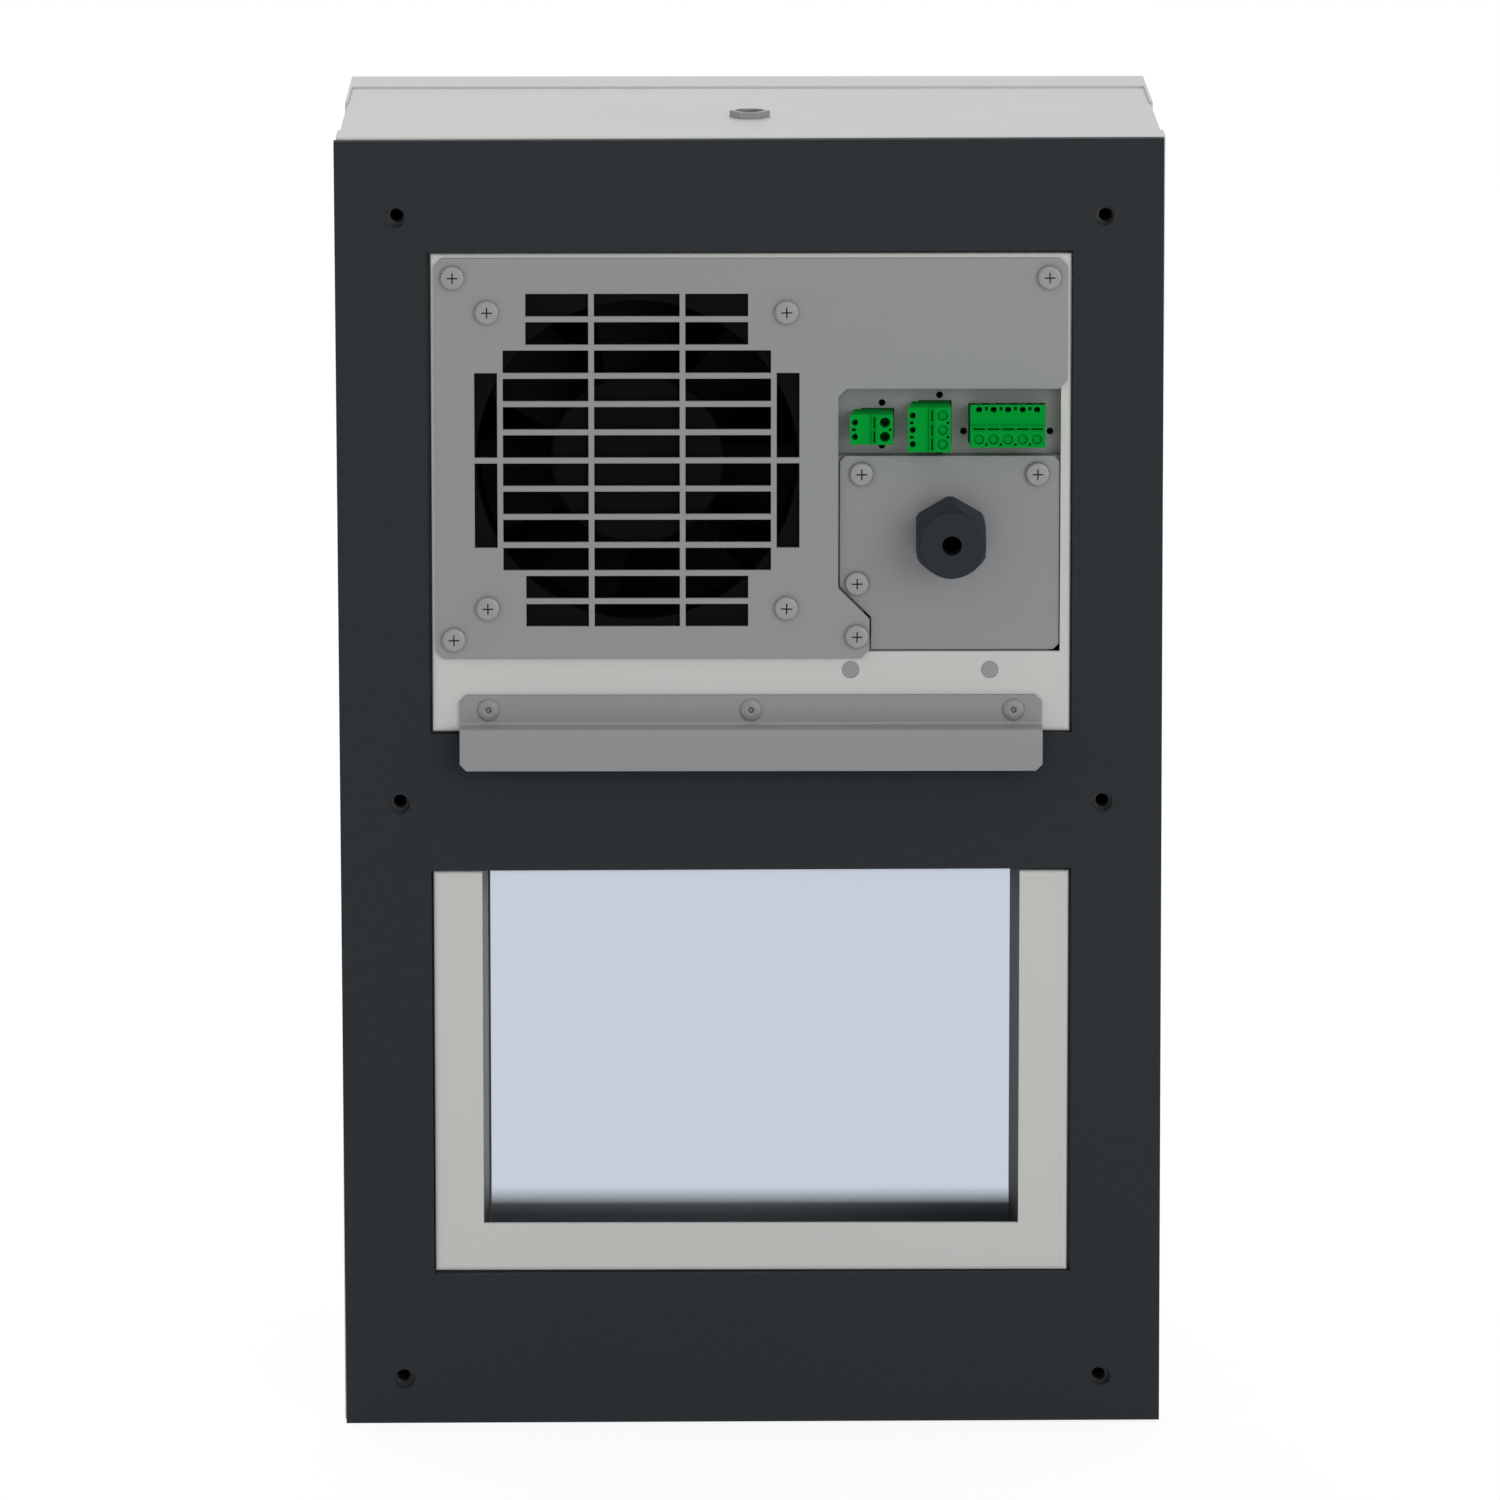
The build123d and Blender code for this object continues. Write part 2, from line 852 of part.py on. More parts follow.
# Lock nut behind the gland plate
def gland_lock_nut():
    far = gland_plate_back + gland_lock_height
    nut = hex_bar(gland_x, gland_z, gland_plate_back, far, gland_lock_flats)
    return nut - rod(gland_x, gland_z, gland_plate_face, far + overrun, gland_thread_radius + fit)


# Places of the poles along a connector
def pole_places(poles):
    return [(number - (poles - 1) / 2) * pole_pitch for number in range(poles)]


# Connector piece moved from its own place to its place on the panel
def seat_connector(piece, key):
    poles, x, z, turn, end, reach, entry, cutout_low = plug_table[key]
    return Pos(x, connector_face, z) * Rot(0, turn, 0) * piece


# Head of a plug: its front dips towards a step, and its left side narrows towards the panel
def plug_head(half, near):
    profile = outline([
        (-plug_left_back, -gap),
        (-plug_left, near),
        (-plug_step, near + plug_dip),
        (plug_step_width - plug_step, near),
        (plug_right, near),
        (plug_right, -gap),
    ])
    return extrude(Plane.XY.offset(-half) * profile, 2 * half)


# Cuts in the face of a plug that repeat at each pole
def pole_cuts(place, near, entry):
    release = Pos(-release_place, place) * Rectangle(release_width, release_length)
    probe = Pos(-probe_place, place) * Circle(probe_radius)
    probe &= window((-plug_left, -probe_edge), (place - probe_radius, place + probe_radius))
    socket = Pos(0, place) * Rectangle(socket_size, socket_size)
    return [
        rod(entry_place, place, near - overrun, near + entry, entry_radius),
        plate(release, near - overrun, near + release_depth),
        plate(probe, near - overrun, near + probe_depth),
        plate(socket, plug_tail_length - socket_depth, plug_tail_length + overrun),
    ]


# Plug-in connector: a head with wire entries, releases and test sockets, and a tail in the header
def plug(key):
    poles, x, z, turn, end, reach, entry, cutout_low = plug_table[key]
    half = poles * pole_pitch / 2 + end
    near = -reach
    body = plug_head(half, near)
    body += plate(window((-plug_tail_low, plug_tail_high), (-half, half)), -gap, plug_tail_length)
    cuts = []
    for place in pole_places(poles):
        rim_width = release_width + 2 * release_rim
        rim_length = release_length + 2 * release_rim
        rim = Pos(-release_place, place) * Rectangle(rim_width, rim_length)
        body += plate(rim, near - release_rim_height, near + plug_dip)
        if turn:
            left = -plug_left_back - rib_height
            rib = window((left, -plug_tail_low), (place - rib_width / 2, place + rib_width / 2))
            body += plate(rib, -gap - rib_length, -gap)
        cuts += pole_cuts(place, near, entry)
    for number in range(poles - 1):
        place = (number + 1 - poles / 2) * pole_pitch
        key_cut = Pos(-key_place, place) * Rectangle(key_width, key_height)
        dot_cut = Pos(dot_place, place) * Rectangle(dot_size, dot_size)
        cuts += [plate(cut, near - overrun, near + key_depth) for cut in (key_cut, dot_cut)]
    return seat_connector(body - cuts, key)


# Distance from a connector's middle to its ear holes
def ear_place(poles):
    return (poles * pole_pitch + header_ear) / 2


# Header socket behind the panel, with its pins
def header(key):
    poles, x, z, turn, end, reach, entry, cutout_low = plug_table[key]
    cavity_x = (-plug_tail_low - gap, plug_tail_high + gap)
    cavity_z = poles * pole_pitch / 2 + end + gap
    near = panel_sheet
    floor = plug_tail_length + gap
    outer = window(
        (cavity_x[0] - header_wall, cavity_x[1] + header_wall),
        (-cavity_z - header_wall, cavity_z + header_wall),
    )
    body = plate(outer, near, floor + header_floor)
    ear = ear_place(poles) + header_ear_land
    body += plate(window((-header_ear_land, header_ear_land), (-ear, ear)), near, near + header_ear_sheet)
    body -= plate(window(cavity_x, (-cavity_z, cavity_z)), near - overrun, floor)
    for side in (-1, 1):
        body -= rod(0, side * ear_place(poles), near - overrun, near + header_ear_sheet, header_hole_radius)
    for place in pole_places(poles):
        pin = Pos(0, place) * Rectangle(pin_size, pin_size)
        body += plate(pin, plug_tail_length - pin_reach, floor + header_floor)
    return seat_connector(body, key)


# Connector panel with its cut-outs and ear holes
def connector_panel():
    x = (box_left + box_wall, box_right - box_wall)
    z = (gland_plate_top - panel_sheet, box_high - box_wall)
    panel = slab(x, (connector_face, connector_back), z)
    ledge_far = gland_plate_back + box_wall
    panel += slab(x, (ledge_far, connector_back), (z[0], z[0] + panel_sheet))
    for key, (poles, x, z, turn, end, reach, entry, cutout_low) in plug_table.items():
        half = poles * pole_pitch / 2 + end + gap
        cut = plate(window((-cutout_low, cutout_high), (-half, half)), -overrun, panel_sheet + overrun)
        holes = [
            rod(0, side * ear_place(poles), -overrun, panel_sheet + overrun, header_hole_radius)
            for side in (-1, 1)
        ]
        panel -= seat_connector(cut, key)
        panel -= [seat_connector(hole, key) for hole in holes]
    return panel


# Hook bracket, a folded Z section that hangs over the edge of the cut-out
def hook_bracket():
    half_sheet = bracket_sheet / 2
    rear = panel_face - half_sheet
    front = panel_face - bracket_sheet - bracket_reach + half_sheet
    web = bracket_web_top - half_sheet
    middle = FilletPolyline(
        (rear, bracket_top),
        (rear, web),
        (front, web),
        (front, bracket_low),
        radius=bracket_bend + half_sheet,
    )
    half = bracket_width / 2
    folded = bar(trace(middle, bracket_sheet), -half, half)
    clipped = window((-half, half), (bracket_low, bracket_top))
    clipped = chamfer(clipped.vertices(), bracket_clip)
    bracket = folded & plate(clipped, front - bracket_sheet, panel_face + overrun)
    near = panel_face - bracket_sheet - overrun
    return bracket - [rod(x, z, near, panel_face + overrun, rivet_shank_radius + fit) for x, z in rivets]


# Blind rivets of the bracket
def bracket_rivets():
    seat = panel_face - bracket_sheet
    top = seat - rivet_head_height
    group = []
    for x, z in rivets:
        rivet = rod(x, z, top, seat, rivet_head_radius)
        rivet = chamfer(rivet.edges().group_by(Axis.Y)[0], rivet_head_height / 2)
        rivet += rod(x, z, seat, panel_back, rivet_shank_radius)
        rivet += rod(x, z, panel_back, panel_back + rivet_tail, rivet_tail_radius)
        rivet -= rod(x, z, top - overrun, panel_face, rivet_bore_radius)
        group.append(rivet)
    return group


# Press-in studs that end flush with the panel
def flush_studs():
    group = []
    for x in stud_x:
        stud = rod(x, stud_z, panel_face, panel_back, stud_head_radius)
        stud += rod(x, stud_z, panel_back, panel_back + stud_length, stud_shank_radius)
        group.append(stud)
    return group


# Duct profile in Y and Z: straight back that curves forward into the floor
def duct_profile(grow):
    back = duct_depth + grow
    floor = duct_floor - grow
    near = panel_back if grow else panel_back - overrun
    profile = outline([(near, duct_top), (back, duct_top), (back, floor), (near, floor)])
    corner = profile.vertices().group_by(Axis.X)[-1].sort_by(Axis.Y)[0]
    return fillet(corner, duct_round + grow)


# Discharge duct, folded from foil-faced sheet and open to the enclosure
def duct_liner():
    half = duct_width / 2
    liner = bar(duct_profile(duct_sheet), -half - duct_sheet, half + duct_sheet)
    liner -= bar(duct_profile(0), -half, half)
    liner -= slab((-half, half), (panel_back, duct_depth), (duct_top - overrun, duct_top + overrun))
    edge = panel_bend + gap
    low = lower_window_low + edge
    high = lower_window_low + lower_window_height - edge
    near = (panel_back - overrun, pan_sheet + gap)
    wide = (-casing_width, casing_width)
    liner -= [slab(wide, near, (duct_floor - casing_height, low)), slab(wide, near, (high, casing_high))]
    return liner - drain_passage()


# Passage for the drain hose through liner, foam and partition
def drain_passage():
    low = tray_top - tray_height + hose_radius + tray_wall
    return rod(hose_x, low, duct_depth - overrun, warm_wall + overrun, hose_radius + gap)


# Passages for the two lines that rise through the step
def line_passages():
    low = coil_chamber_low
    return [
        post(suction_x, suction_y(), low, step_top + overrun, suction_radius + gap),
        post(capillary_x, capillary_y(), low, step_top + overrun, capillary_radius + gap),
    ]


# Moulded foam round the duct and under the step
def insulation():
    half = duct_width / 2 + duct_sheet + gap
    inner = duct_profile(duct_sheet + gap)
    top = step_height - gap
    near = pan_sheet + gap
    back = partition_lower - gap
    side = half + foam
    body = slab((-side, side), (near, back), (duct_floor - duct_sheet - gap - foam, duct_top))
    body -= bar(inner, -half, half)
    wide = casing_width / 2 - tongue_inset - wrap_sheet - gap
    thin = foam / 2
    corner = outline([
        (back - foam, duct_top),
        (back, duct_top),
        (back, top - partition_bend),
        (back - partition_bend, top),
        (partition_upper, top),
        (partition_upper, top - thin),
        (back - foam, top - thin),
    ])
    upper_board = slab(
        (-wide, wide),
        (partition_upper - gap - thin, partition_upper - gap),
        (box_low, casing_high - tongue_inset - wrap_sheet - gap),
    )
    body += bar(corner, -wide, wide)
    body -= [drain_passage()] + line_passages()
    return [body, upper_board]


# Partition between the cold and the warm side, folded with a step for the compressor
def partition_wall():
    half_sheet = partition_sheet / 2
    inset = tongue_inset + wrap_sheet + gap
    low = casing_low + inset
    high = casing_high - inset
    middle = FilletPolyline(
        (partition_lower + half_sheet, low),
        (partition_lower + half_sheet, step_height + half_sheet),
        (partition_upper + half_sheet, step_height + half_sheet),
        (partition_upper + half_sheet, high),
        radius=partition_bend + half_sheet,
    )
    half = casing_width / 2 - inset
    wall = bar(trace(middle, partition_sheet), -half, half)
    bolts = [
        post(x, y, step_height - overrun, step_top + overrun, foot_bolt_radius + fit)
        for x, y in compressor_feet_places()
    ]
    return wall - [drain_passage()] - line_passages() - bolts


# Place of an evaporator tube in Y and Z
def coil_tube_place(number):
    along = (number - (coil_tube_count - 1) / 2) * coil_tube_pitch
    slant = radians(coil_slant)
    return coil_y + along * cos(slant), coil_z - along * sin(slant)


# Depth at which the suction line rises
def suction_y():
    return partition_upper + (partition_lower - partition_upper) / 2


# Depth at which the capillary tube rises
def capillary_y():
    return coil_tube_place(coil_tube_count - 1)[0]


# Shape placed on the slanted evaporator
def on_coil(piece):
    return Pos(0, coil_y, coil_z) * Rot(-coil_slant, 0, 0) * piece


# Evaporator fins: a comb on both faces of the tube row
def evaporator_fins():
    half = coil_length / 2
    depth = coil_slant_length / 2
    rise = coil_thickness / 2
    block = slab((-half, half), (-depth, depth), (-rise, rise))
    count = int(coil_length // coil_fin_pitch)
    start = -(count - 1) * coil_fin_pitch / 2
    slot_half = (coil_fin_pitch - coil_fin) / 2
    cuts = []
    for number in range(count):
        x = start + number * coil_fin_pitch
        for side in (-1, 1):
            z = sorted((side * (rise + overrun), side * (rise - coil_fin_reach)))
            cuts.append(slab((x - slot_half, x + slot_half), (-depth - overrun, depth + overrun), z))
    for number in range(coil_tube_count):
        y = (number - (coil_tube_count - 1) / 2) * coil_tube_pitch
        hole = Cylinder(coil_tube_radius + fit, coil_length + overrun)
        cuts.append(Pos(0, y, 0) * Rot(0, quarter_turn, 0) * hole)
    return on_coil(block - cuts)


# Evaporator tube: one serpentine through fins and end plates
def evaporator_tubes():
    reach = coil_length / 2 + coil_plate + coil_tube_stub
    bend = coil_tube_pitch / 2
    pieces = []
    for number in range(coil_tube_count):
        y = (number - (coil_tube_count - 1) / 2) * coil_tube_pitch
        along = Rot(0, quarter_turn, 0)
        pieces.append(Pos(0, y, 0) * along * Cylinder(coil_tube_radius, 2 * reach))
        if number == coil_tube_count - 1:
            continue
        side = -1 if number % 2 == 0 else 1
        section = Plane(origin=(side * reach, y, 0), x_dir=(0, 1, 0), z_dir=(side, 0, 0))
        middle = Axis((side * reach, y + bend, 0), (0, 0, side))
        pieces.append(revolve(section * Circle(coil_tube_radius), middle, half_turn))
    serpentine = pieces[0]
    for piece in pieces[1:]:
        serpentine += piece
    return on_coil(serpentine)


# End plates of the evaporator, which reach from the pan to the foam and carry the tray
def evaporator_end_plates():
    near = pan_sheet
    back = duct_depth + duct_sheet
    tray_near = back - duct_sheet - tray_back_gap - tray_width
    tray_low = tray_top - tray_height
    profile = outline([
        (near, upper_window_low - coil_plate_gap),
        (near + coil_plate_gap, coil_chamber_top),
        (back, coil_chamber_top - foam),
        (back, duct_top + gap),
        (duct_depth - gap, duct_top + gap),
        (duct_depth - gap, tray_low),
        (tray_near, tray_low),
        (tray_near, coil_chamber_low),
        (near, coil_chamber_low),
    ])
    plates = []
    for side in (-1, 1):
        inner = side * (coil_length / 2)
        outer = side * (coil_length / 2 + coil_plate)
        sheet = bar(profile, min(inner, outer), max(inner, outer))
        for number in range(coil_tube_count):
            y = (number - (coil_tube_count - 1) / 2) * coil_tube_pitch
            hole = Pos(0, y, 0) * Rot(0, quarter_turn, 0) * Cylinder(coil_tube_radius + fit, casing_width)
            sheet -= on_coil(hole)
        plates.append(sheet)
    return plates


# Condensate tray along the low edge of the evaporator
def condensate_tray():
    half = coil_length / 2
    far = duct_depth - tray_back_gap
    near = far - tray_width
    low = tray_top - tray_height
    tray = slab((-half, half), (near, far), (low, tray_top))
    tray -= slab(
        (-half + tray_wall, half - tray_wall),
        (near + tray_wall, far - tray_wall),
        (low + tray_wall, tray_top + overrun),
    )
    outlet = low + hose_radius + tray_wall
    return tray - rod(hose_x, outlet, far - tray_wall - overrun, far + overrun, hose_radius - tray_wall)


# Drain hose from the tray down to the base
def drain_hose():
    outlet = tray_top - tray_height + hose_radius + tray_wall
    start = duct_depth - tray_back_gap
    low = casing_low + cover_tongue_inset + wrap_sheet + spigot_flange + spigot_lift
    return tube(
        [(hose_x, start, outlet), (hose_x, drain_y, outlet), (hose_x, drain_y, low)],
        hose_radius,
        hose_bend,
    )


# Drain spigot in the base, which ends above the floor
def drain_spigot():
    inside = casing_low + cover_tongue_inset + wrap_sheet
    bottom = casing_low + gap
    flange_top = inside + spigot_flange
    spigot = post(hose_x, drain_y, bottom, inside, spigot_radius)
    spigot += post(hose_x, drain_y, inside, flange_top, spigot_flange_radius)
    spigot += post(hose_x, drain_y, flange_top, flange_top + spigot_lift, spigot_radius)
    top = flange_top + spigot_lift + overrun
    return spigot - post(hose_x, drain_y, bottom - overrun, top, hose_radius - tray_wall)


# Housing wrap, joggled at both ends to slip inside pan and cover
def housing_wrap():
    skin_near = pan_lip + gap
    inner_inset = tongue_inset + wrap_sheet
    skin_far = cover_side_edge - gap
    wrap = casing_ring(tongue_inset, wrap_sheet, pan_lip - wrap_tongue, skin_near + wrap_joggle)
    wrap += casing_ring(wrap_step, inner_inset - wrap_step, skin_near, skin_near + wrap_joggle)
    wrap += casing_ring(wrap_step, wrap_sheet, skin_near, skin_far)
    front_inner = cover_tongue_inset + wrap_sheet
    wrap += casing_ring(wrap_step, front_inner - wrap_step, skin_far - wrap_joggle, skin_far)
    tongue_end = cover_top_edge + cover_tongue
    wrap += casing_ring(cover_tongue_inset, wrap_sheet, skin_far - wrap_joggle, tongue_end)
    half = casing_width / 2 - cover_sheet - fit
    for side in (-1, 1):
        edge = casing_rise + side * (casing_height / 2 - wrap_step)
        z = sorted((edge, edge - side * wrap_sheet))
        wrap += slab((-half, half), (skin_far - wrap_joggle, cover_top_edge - fit), z)
    wrap -= post(0, lift_y, casing_high - pan_lip, casing_high + overrun, lift_body_radius + fit)
    wrap -= post(hose_x, drain_y, casing_low - overrun, casing_low + pan_lip, spigot_radius + fit)
    wrap -= [cover_screw_shank(side, z, fit) for side in (-1, 1) for z in cover_screw_heights()]
    return wrap


# Heights of the cover screws
def cover_screw_heights():
    return casing_low + cover_screw_drop, casing_high - cover_screw_drop


# Shank of a cover screw, which points to the middle of the unit
def cover_screw_shank(side, z, grow):
    outer = side * casing_width / 2
    inner = side * (casing_width / 2 - cover_screw_length)
    middle = (outer + inner) / 2
    shank = Rot(0, quarter_turn, 0) * Cylinder(cover_screw_radius + grow, cover_screw_length)
    return Pos(middle, cover_screw_y, z) * shank


# Cover screws, two on each side
def cover_screws():
    group = []
    for side in (-1, 1):
        for z in cover_screw_heights():
            middle = side * (casing_width + cover_screw_head) / 2
            head = Pos(middle, cover_screw_y, z) * Rot(0, quarter_turn, 0)
            head = head * Cylinder(cover_screw_head_radius, cover_screw_head)
            group.append(head + cover_screw_shank(side, z, 0))
    return group


# Slots of the intake grille in the cover, in two columns
def intake_slots():
    column = (intake_width - grille_bar) / 2
    count = int((intake_high - intake_low) // grille_pitch)
    slots = []
    for number in range(count):
        z = intake_low + (number + 1 / 2) * grille_pitch
        for side in (-1, 1):
            slots.append(Pos(side * (grille_bar + column) / 2, z) * Rectangle(column, grille_slot))
    return slots


# Front cover, folded from sheet, with intake grille and hooded outlet louvres
def front_cover():
    inner_face = casing_depth - cover_sheet
    cover = plate(casing(0), cover_side_edge, casing_depth)
    cover = fillet(cover.faces().sort_by(Axis.Y)[-1].edges(), cover_bend)
    cover -= plate(casing(cover_sheet), cover_side_edge - overrun, inner_face)
    half = casing_width / 2 - cover_sheet
    for side in (-1, 1):
        edge = casing_rise + side * casing_height / 2
        z = sorted((edge + side * overrun, edge - side * (cover_sheet + overrun)))
        cover -= slab((-half, half), (cover_side_edge - overrun, cover_top_edge), z)
    cover -= [plate(slot, inner_face - overrun, casing_depth + overrun) for slot in intake_slots()]
    column = (intake_width - grille_bar) / 2
    count = int((exhaust_high - exhaust_low) // louvre_pitch)
    for number in range(count):
        z = exhaust_low + number * louvre_pitch
        for side in (-1, 1):
            middle = side * (grille_bar + column) / 2
            left, right = middle - column / 2, middle + column / 2
            depth = (inner_face - overrun, casing_depth + overrun)
            opening = slab((left, right), depth, (z, z + louvre_slot))
            hood = outline([
                (inner_face, z + louvre_slot + louvre_sheet),
                (inner_face, z + louvre_slot),
                (inner_face - louvre_hood, z),
                (inner_face - louvre_hood, z + louvre_sheet),
            ])
            cover -= opening
            cover += bar(hood, left, right)
    cover -= [cover_screw_shank(side, z, fit) for side in (-1, 1) for z in cover_screw_heights()]
    return cover


# Lifting insert in the top of the housing
def lifting_insert():
    top = casing_high - wrap_step
    corner = RegularPolygon(lift_flats / 2, hexagon_count, major_radius=False)
    insert = extrude(Pos(0, lift_y, top) * corner, lift_height)
    insert += post(0, lift_y, top - lift_length, top, lift_body_radius)
    low = top - lift_length - overrun
    return insert - post(0, lift_y, low, top + lift_height + overrun, lift_thread_radius)


# Shroud plate that parts intake and warm bay and carries condenser and fan
def condenser_shroud():
    inset = tongue_inset + wrap_sheet + gap
    half = casing_width / 2 - inset
    low = casing_low + inset
    far = casing_depth - cover_sheet - gap
    sheet = slab((-half, half), (shroud_y, condenser_face), (low, shroud_top))
    sheet += slab((-half, half), (shroud_y, far), (shroud_top - shroud_sheet, shroud_top))
    sheet -= rod(0, condenser_z, shroud_y - overrun, condenser_face + overrun, fan_bore_radius)
    sheet -= [
        rod(x, z, shroud_y - overrun, condenser_face + overrun, screw_shank_radius + fit)
        for x, z in fan_corners(0, condenser_z)
    ]
    bottom = shroud_top - shroud_sheet - overrun
    for x in (-header_x, header_x):
        sheet -= post(x, condenser_y, bottom, shroud_top + overrun, discharge_radius + gap)
    return sheet


# Condenser core: flat tubes with upright fins between them
def condenser_core():
    half = condenser_width / 2
    far = condenser_face + condenser_depth
    core = slab((-half, half), (condenser_face, far), (condenser_low, condenser_high))
    cell = (condenser_high - condenser_low - condenser_tube) / condenser_tube_count
    columns = int(condenser_width // condenser_fin_pitch)
    start = -columns * condenser_fin_pitch / 2
    cuts = []
    for row in range(condenser_tube_count):
        low = condenser_low + condenser_tube + row * cell
        for column in range(columns):
            left = start + column * condenser_fin_pitch + condenser_fin / 2
            right = left + condenser_fin_pitch - condenser_fin
            depth = (condenser_face - overrun, far + overrun)
            cuts.append(slab((left, right), depth, (low, low + cell - condenser_tube)))
    return core - cuts


# Upright headers at both ends of the flat tubes
def condenser_headers():
    return [
        post(side * header_x, condenser_y, condenser_low, condenser_high, header_tube_radius)
        for side in (-1, 1)
    ]


# Places of the compressor's feet
def compressor_feet_places():
    half = foot_pitch / 2
    return [(compressor_x + i * half, compressor_y + k * half) for i in (-1, 1) for k in (-1, 1)]


# Compressor shell, two domed cups joined at a seam, with its two stubs
def compressor_shell():
    low = step_top + foot_height + compressor_base_sheet
    top = low + compressor_body + compressor_dome
    shoulder = low + compressor_body
    radius = compressor_radius
    middle = radians(compressor_dome_angle)
    crown = (radius * cos(middle), shoulder + compressor_dome * sin(middle))
    wall = Polyline((0, top), (0, low), (radius, low), (radius, shoulder))
    profile = make_face(wall + ThreePointArc((radius, shoulder), crown, (0, top)))
    shell = revolve(Plane.XZ * profile, Axis.Z)
    seam = (low + shoulder) / 2
    shell += post(0, 0, seam, seam + compressor_seam_height, radius + compressor_seam)
    shell = Pos(compressor_x, compressor_y, 0) * shell
    shell += post(discharge_x, compressor_y, shoulder, top + stub_length, stub_radius)
    stub_z = low + side_stub_height
    stub_x = compressor_x + radius + stub_length
    stub = Pos((compressor_x + stub_x) / 2, compressor_y, stub_z) * Rot(0, quarter_turn, 0)
    shell += stub * Cylinder(stub_radius, stub_x - compressor_x)
    return shell


# Compressor base plate on its feet
def compressor_base_plate():
    low = step_top + foot_height
    half = compressor_base / 2
    base = slab(
        (compressor_x - half, compressor_x + half),
        (compressor_y - half, compressor_y + half),
        (low, low + compressor_base_sheet),
    )
    base = fillet(base.edges().filter_by(Axis.Z), foot_radius)
    return base - [
        post(x, y, low - overrun, low + compressor_base_sheet + overrun, foot_bolt_radius + fit)
        for x, y in compressor_feet_places()
    ]


# Rubber feet between base plate and step
def compressor_feet():
    return [
        post(x, y, step_top, step_top + foot_height, foot_radius)
        - post(x, y, step_top - overrun, step_top + foot_height + overrun, foot_hole_radius)
        for x, y in compressor_feet_places()
    ]


# Bolts through the rubber feet
def compressor_bolts():
    seat = step_top + foot_height + compressor_base_sheet
    return [
        post(x, y, step_height, seat, foot_bolt_radius)
        + post(x, y, seat, seat + foot_bolt_head, foot_bolt_head_radius)
        for x, y in compressor_feet_places()
    ]


# Terminal cover on the side of the compressor
def compressor_terminal_cover():
    low = step_top + foot_height + compressor_base_sheet + gap
    near_x = compressor_x - compressor_radius - terminal_cover_depth
    block = slab(
        (near_x, compressor_x),
        (compressor_y - terminal_cover_width / 2, compressor_y + terminal_cover_width / 2),
        (low, low + terminal_cover_height),
    )
    return block - post(compressor_x, compressor_y, low - overrun, casing_high, compressor_radius + fit)


# Discharge pipe from compressor to condenser
def discharge_pipe():
    low = step_top + foot_height + compressor_base_sheet
    start = low + compressor_body + compressor_dome + stub_length
    top = start + discharge_rise
    return tube(
        [
            (discharge_x, compressor_y, start),
            (discharge_x, compressor_y, top),
            (-header_x, condenser_y, top),
            (-header_x, condenser_y, condenser_high),
        ],
        discharge_radius,
        discharge_bend,
    )


# Liquid pipe from condenser up to the drier
def liquid_pipe():
    return post(header_x, condenser_y, condenser_high, drier_low, liquid_radius)


# Filter drier: a cylinder with tapered ends
def filter_drier():
    high = drier_low + drier_length
    body = post(header_x, condenser_y, drier_low, high, drier_radius)
    ends = body.edges().filter_by(GeomType.CIRCLE)
    return chamfer(ends, drier_taper, drier_radius - liquid_radius - gap)


# Capillary tube from the drier down to the evaporator inlet
def capillary_tube():
    start = drier_low + drier_length
    y, z = coil_tube_place(coil_tube_count - 1)
    end_x = coil_length / 2 + coil_plate + coil_tube_stub
    return tube(
        [
            (header_x, condenser_y, start),
            (header_x, condenser_y, start + capillary_rise),
            (capillary_x, capillary_y(), start + capillary_rise),
            (capillary_x, capillary_y(), z),
            (end_x, y, z),
        ],
        capillary_radius,
        capillary_bend,
    )


# Suction pipe from the evaporator outlet to the compressor
def suction_pipe():
    y, z = coil_tube_place(0)
    start_x = coil_length / 2 + coil_plate + coil_tube_stub
    stub_z = step_top + foot_height + compressor_base_sheet + side_stub_height
    stub_x = compressor_x + compressor_radius + stub_length
    return tube(
        [
            (start_x, y, z),
            (suction_x, y, z),
            (suction_x, suction_y(), z),
            (suction_x, suction_y(), stub_z),
            (stub_x + suction_lead, compressor_y, stub_z),
            (stub_x, compressor_y, stub_z),
        ],
        suction_radius,
        suction_bend,
    )


# Control board on its stand-offs at the back of the terminal box
def control_board():
    far = box_back - board_lift
    x = (board_x - board_width / 2, board_x + board_width / 2)
    z = (board_z - board_height / 2, board_z + board_height / 2)
    return slab(x, (far - board_sheet, far), z)


# Stand-offs of the control board
def board_standoffs():
    half_x = board_width / 2 - standoff_inset
    half_z = board_height / 2 - standoff_inset
    return [
        rod(board_x + i * half_x, board_z + k * half_z, box_back - board_lift, box_back, standoff_radius)
        for i in (-1, 1)
        for k in (-1, 1)
    ]


# Relays on the control board
def board_relays():
    far = box_back - board_lift - board_sheet
    group = []
    z = (board_z - relay_length / 2, board_z + relay_length / 2)
    for number in range(relay_count):
        x = relay_x + number * relay_pitch
        group.append(slab((x - relay_width / 2, x + relay_width / 2), (far - relay_height, far), z))
    return group


# Transformer on the control board
def board_transformer():
    far = box_back - board_lift - board_sheet
    half = transformer_size / 2
    x = (transformer_x - half, transformer_x + half)
    block = slab(x, (far - transformer_height, far), (board_z - half, board_z + half))
    return chamfer(block.edges().filter_by(Axis.Y), transformer_chamfer)


# Board behind the connectors, which carries the header pins
def connector_board():
    floor = connector_face + plug_tail_length + gap + header_floor
    x = (box_left + box_wall, box_right - box_wall)
    z = (gland_plate_top, box_high - box_wall)
    return slab(x, (floor, floor + board_sheet), z)


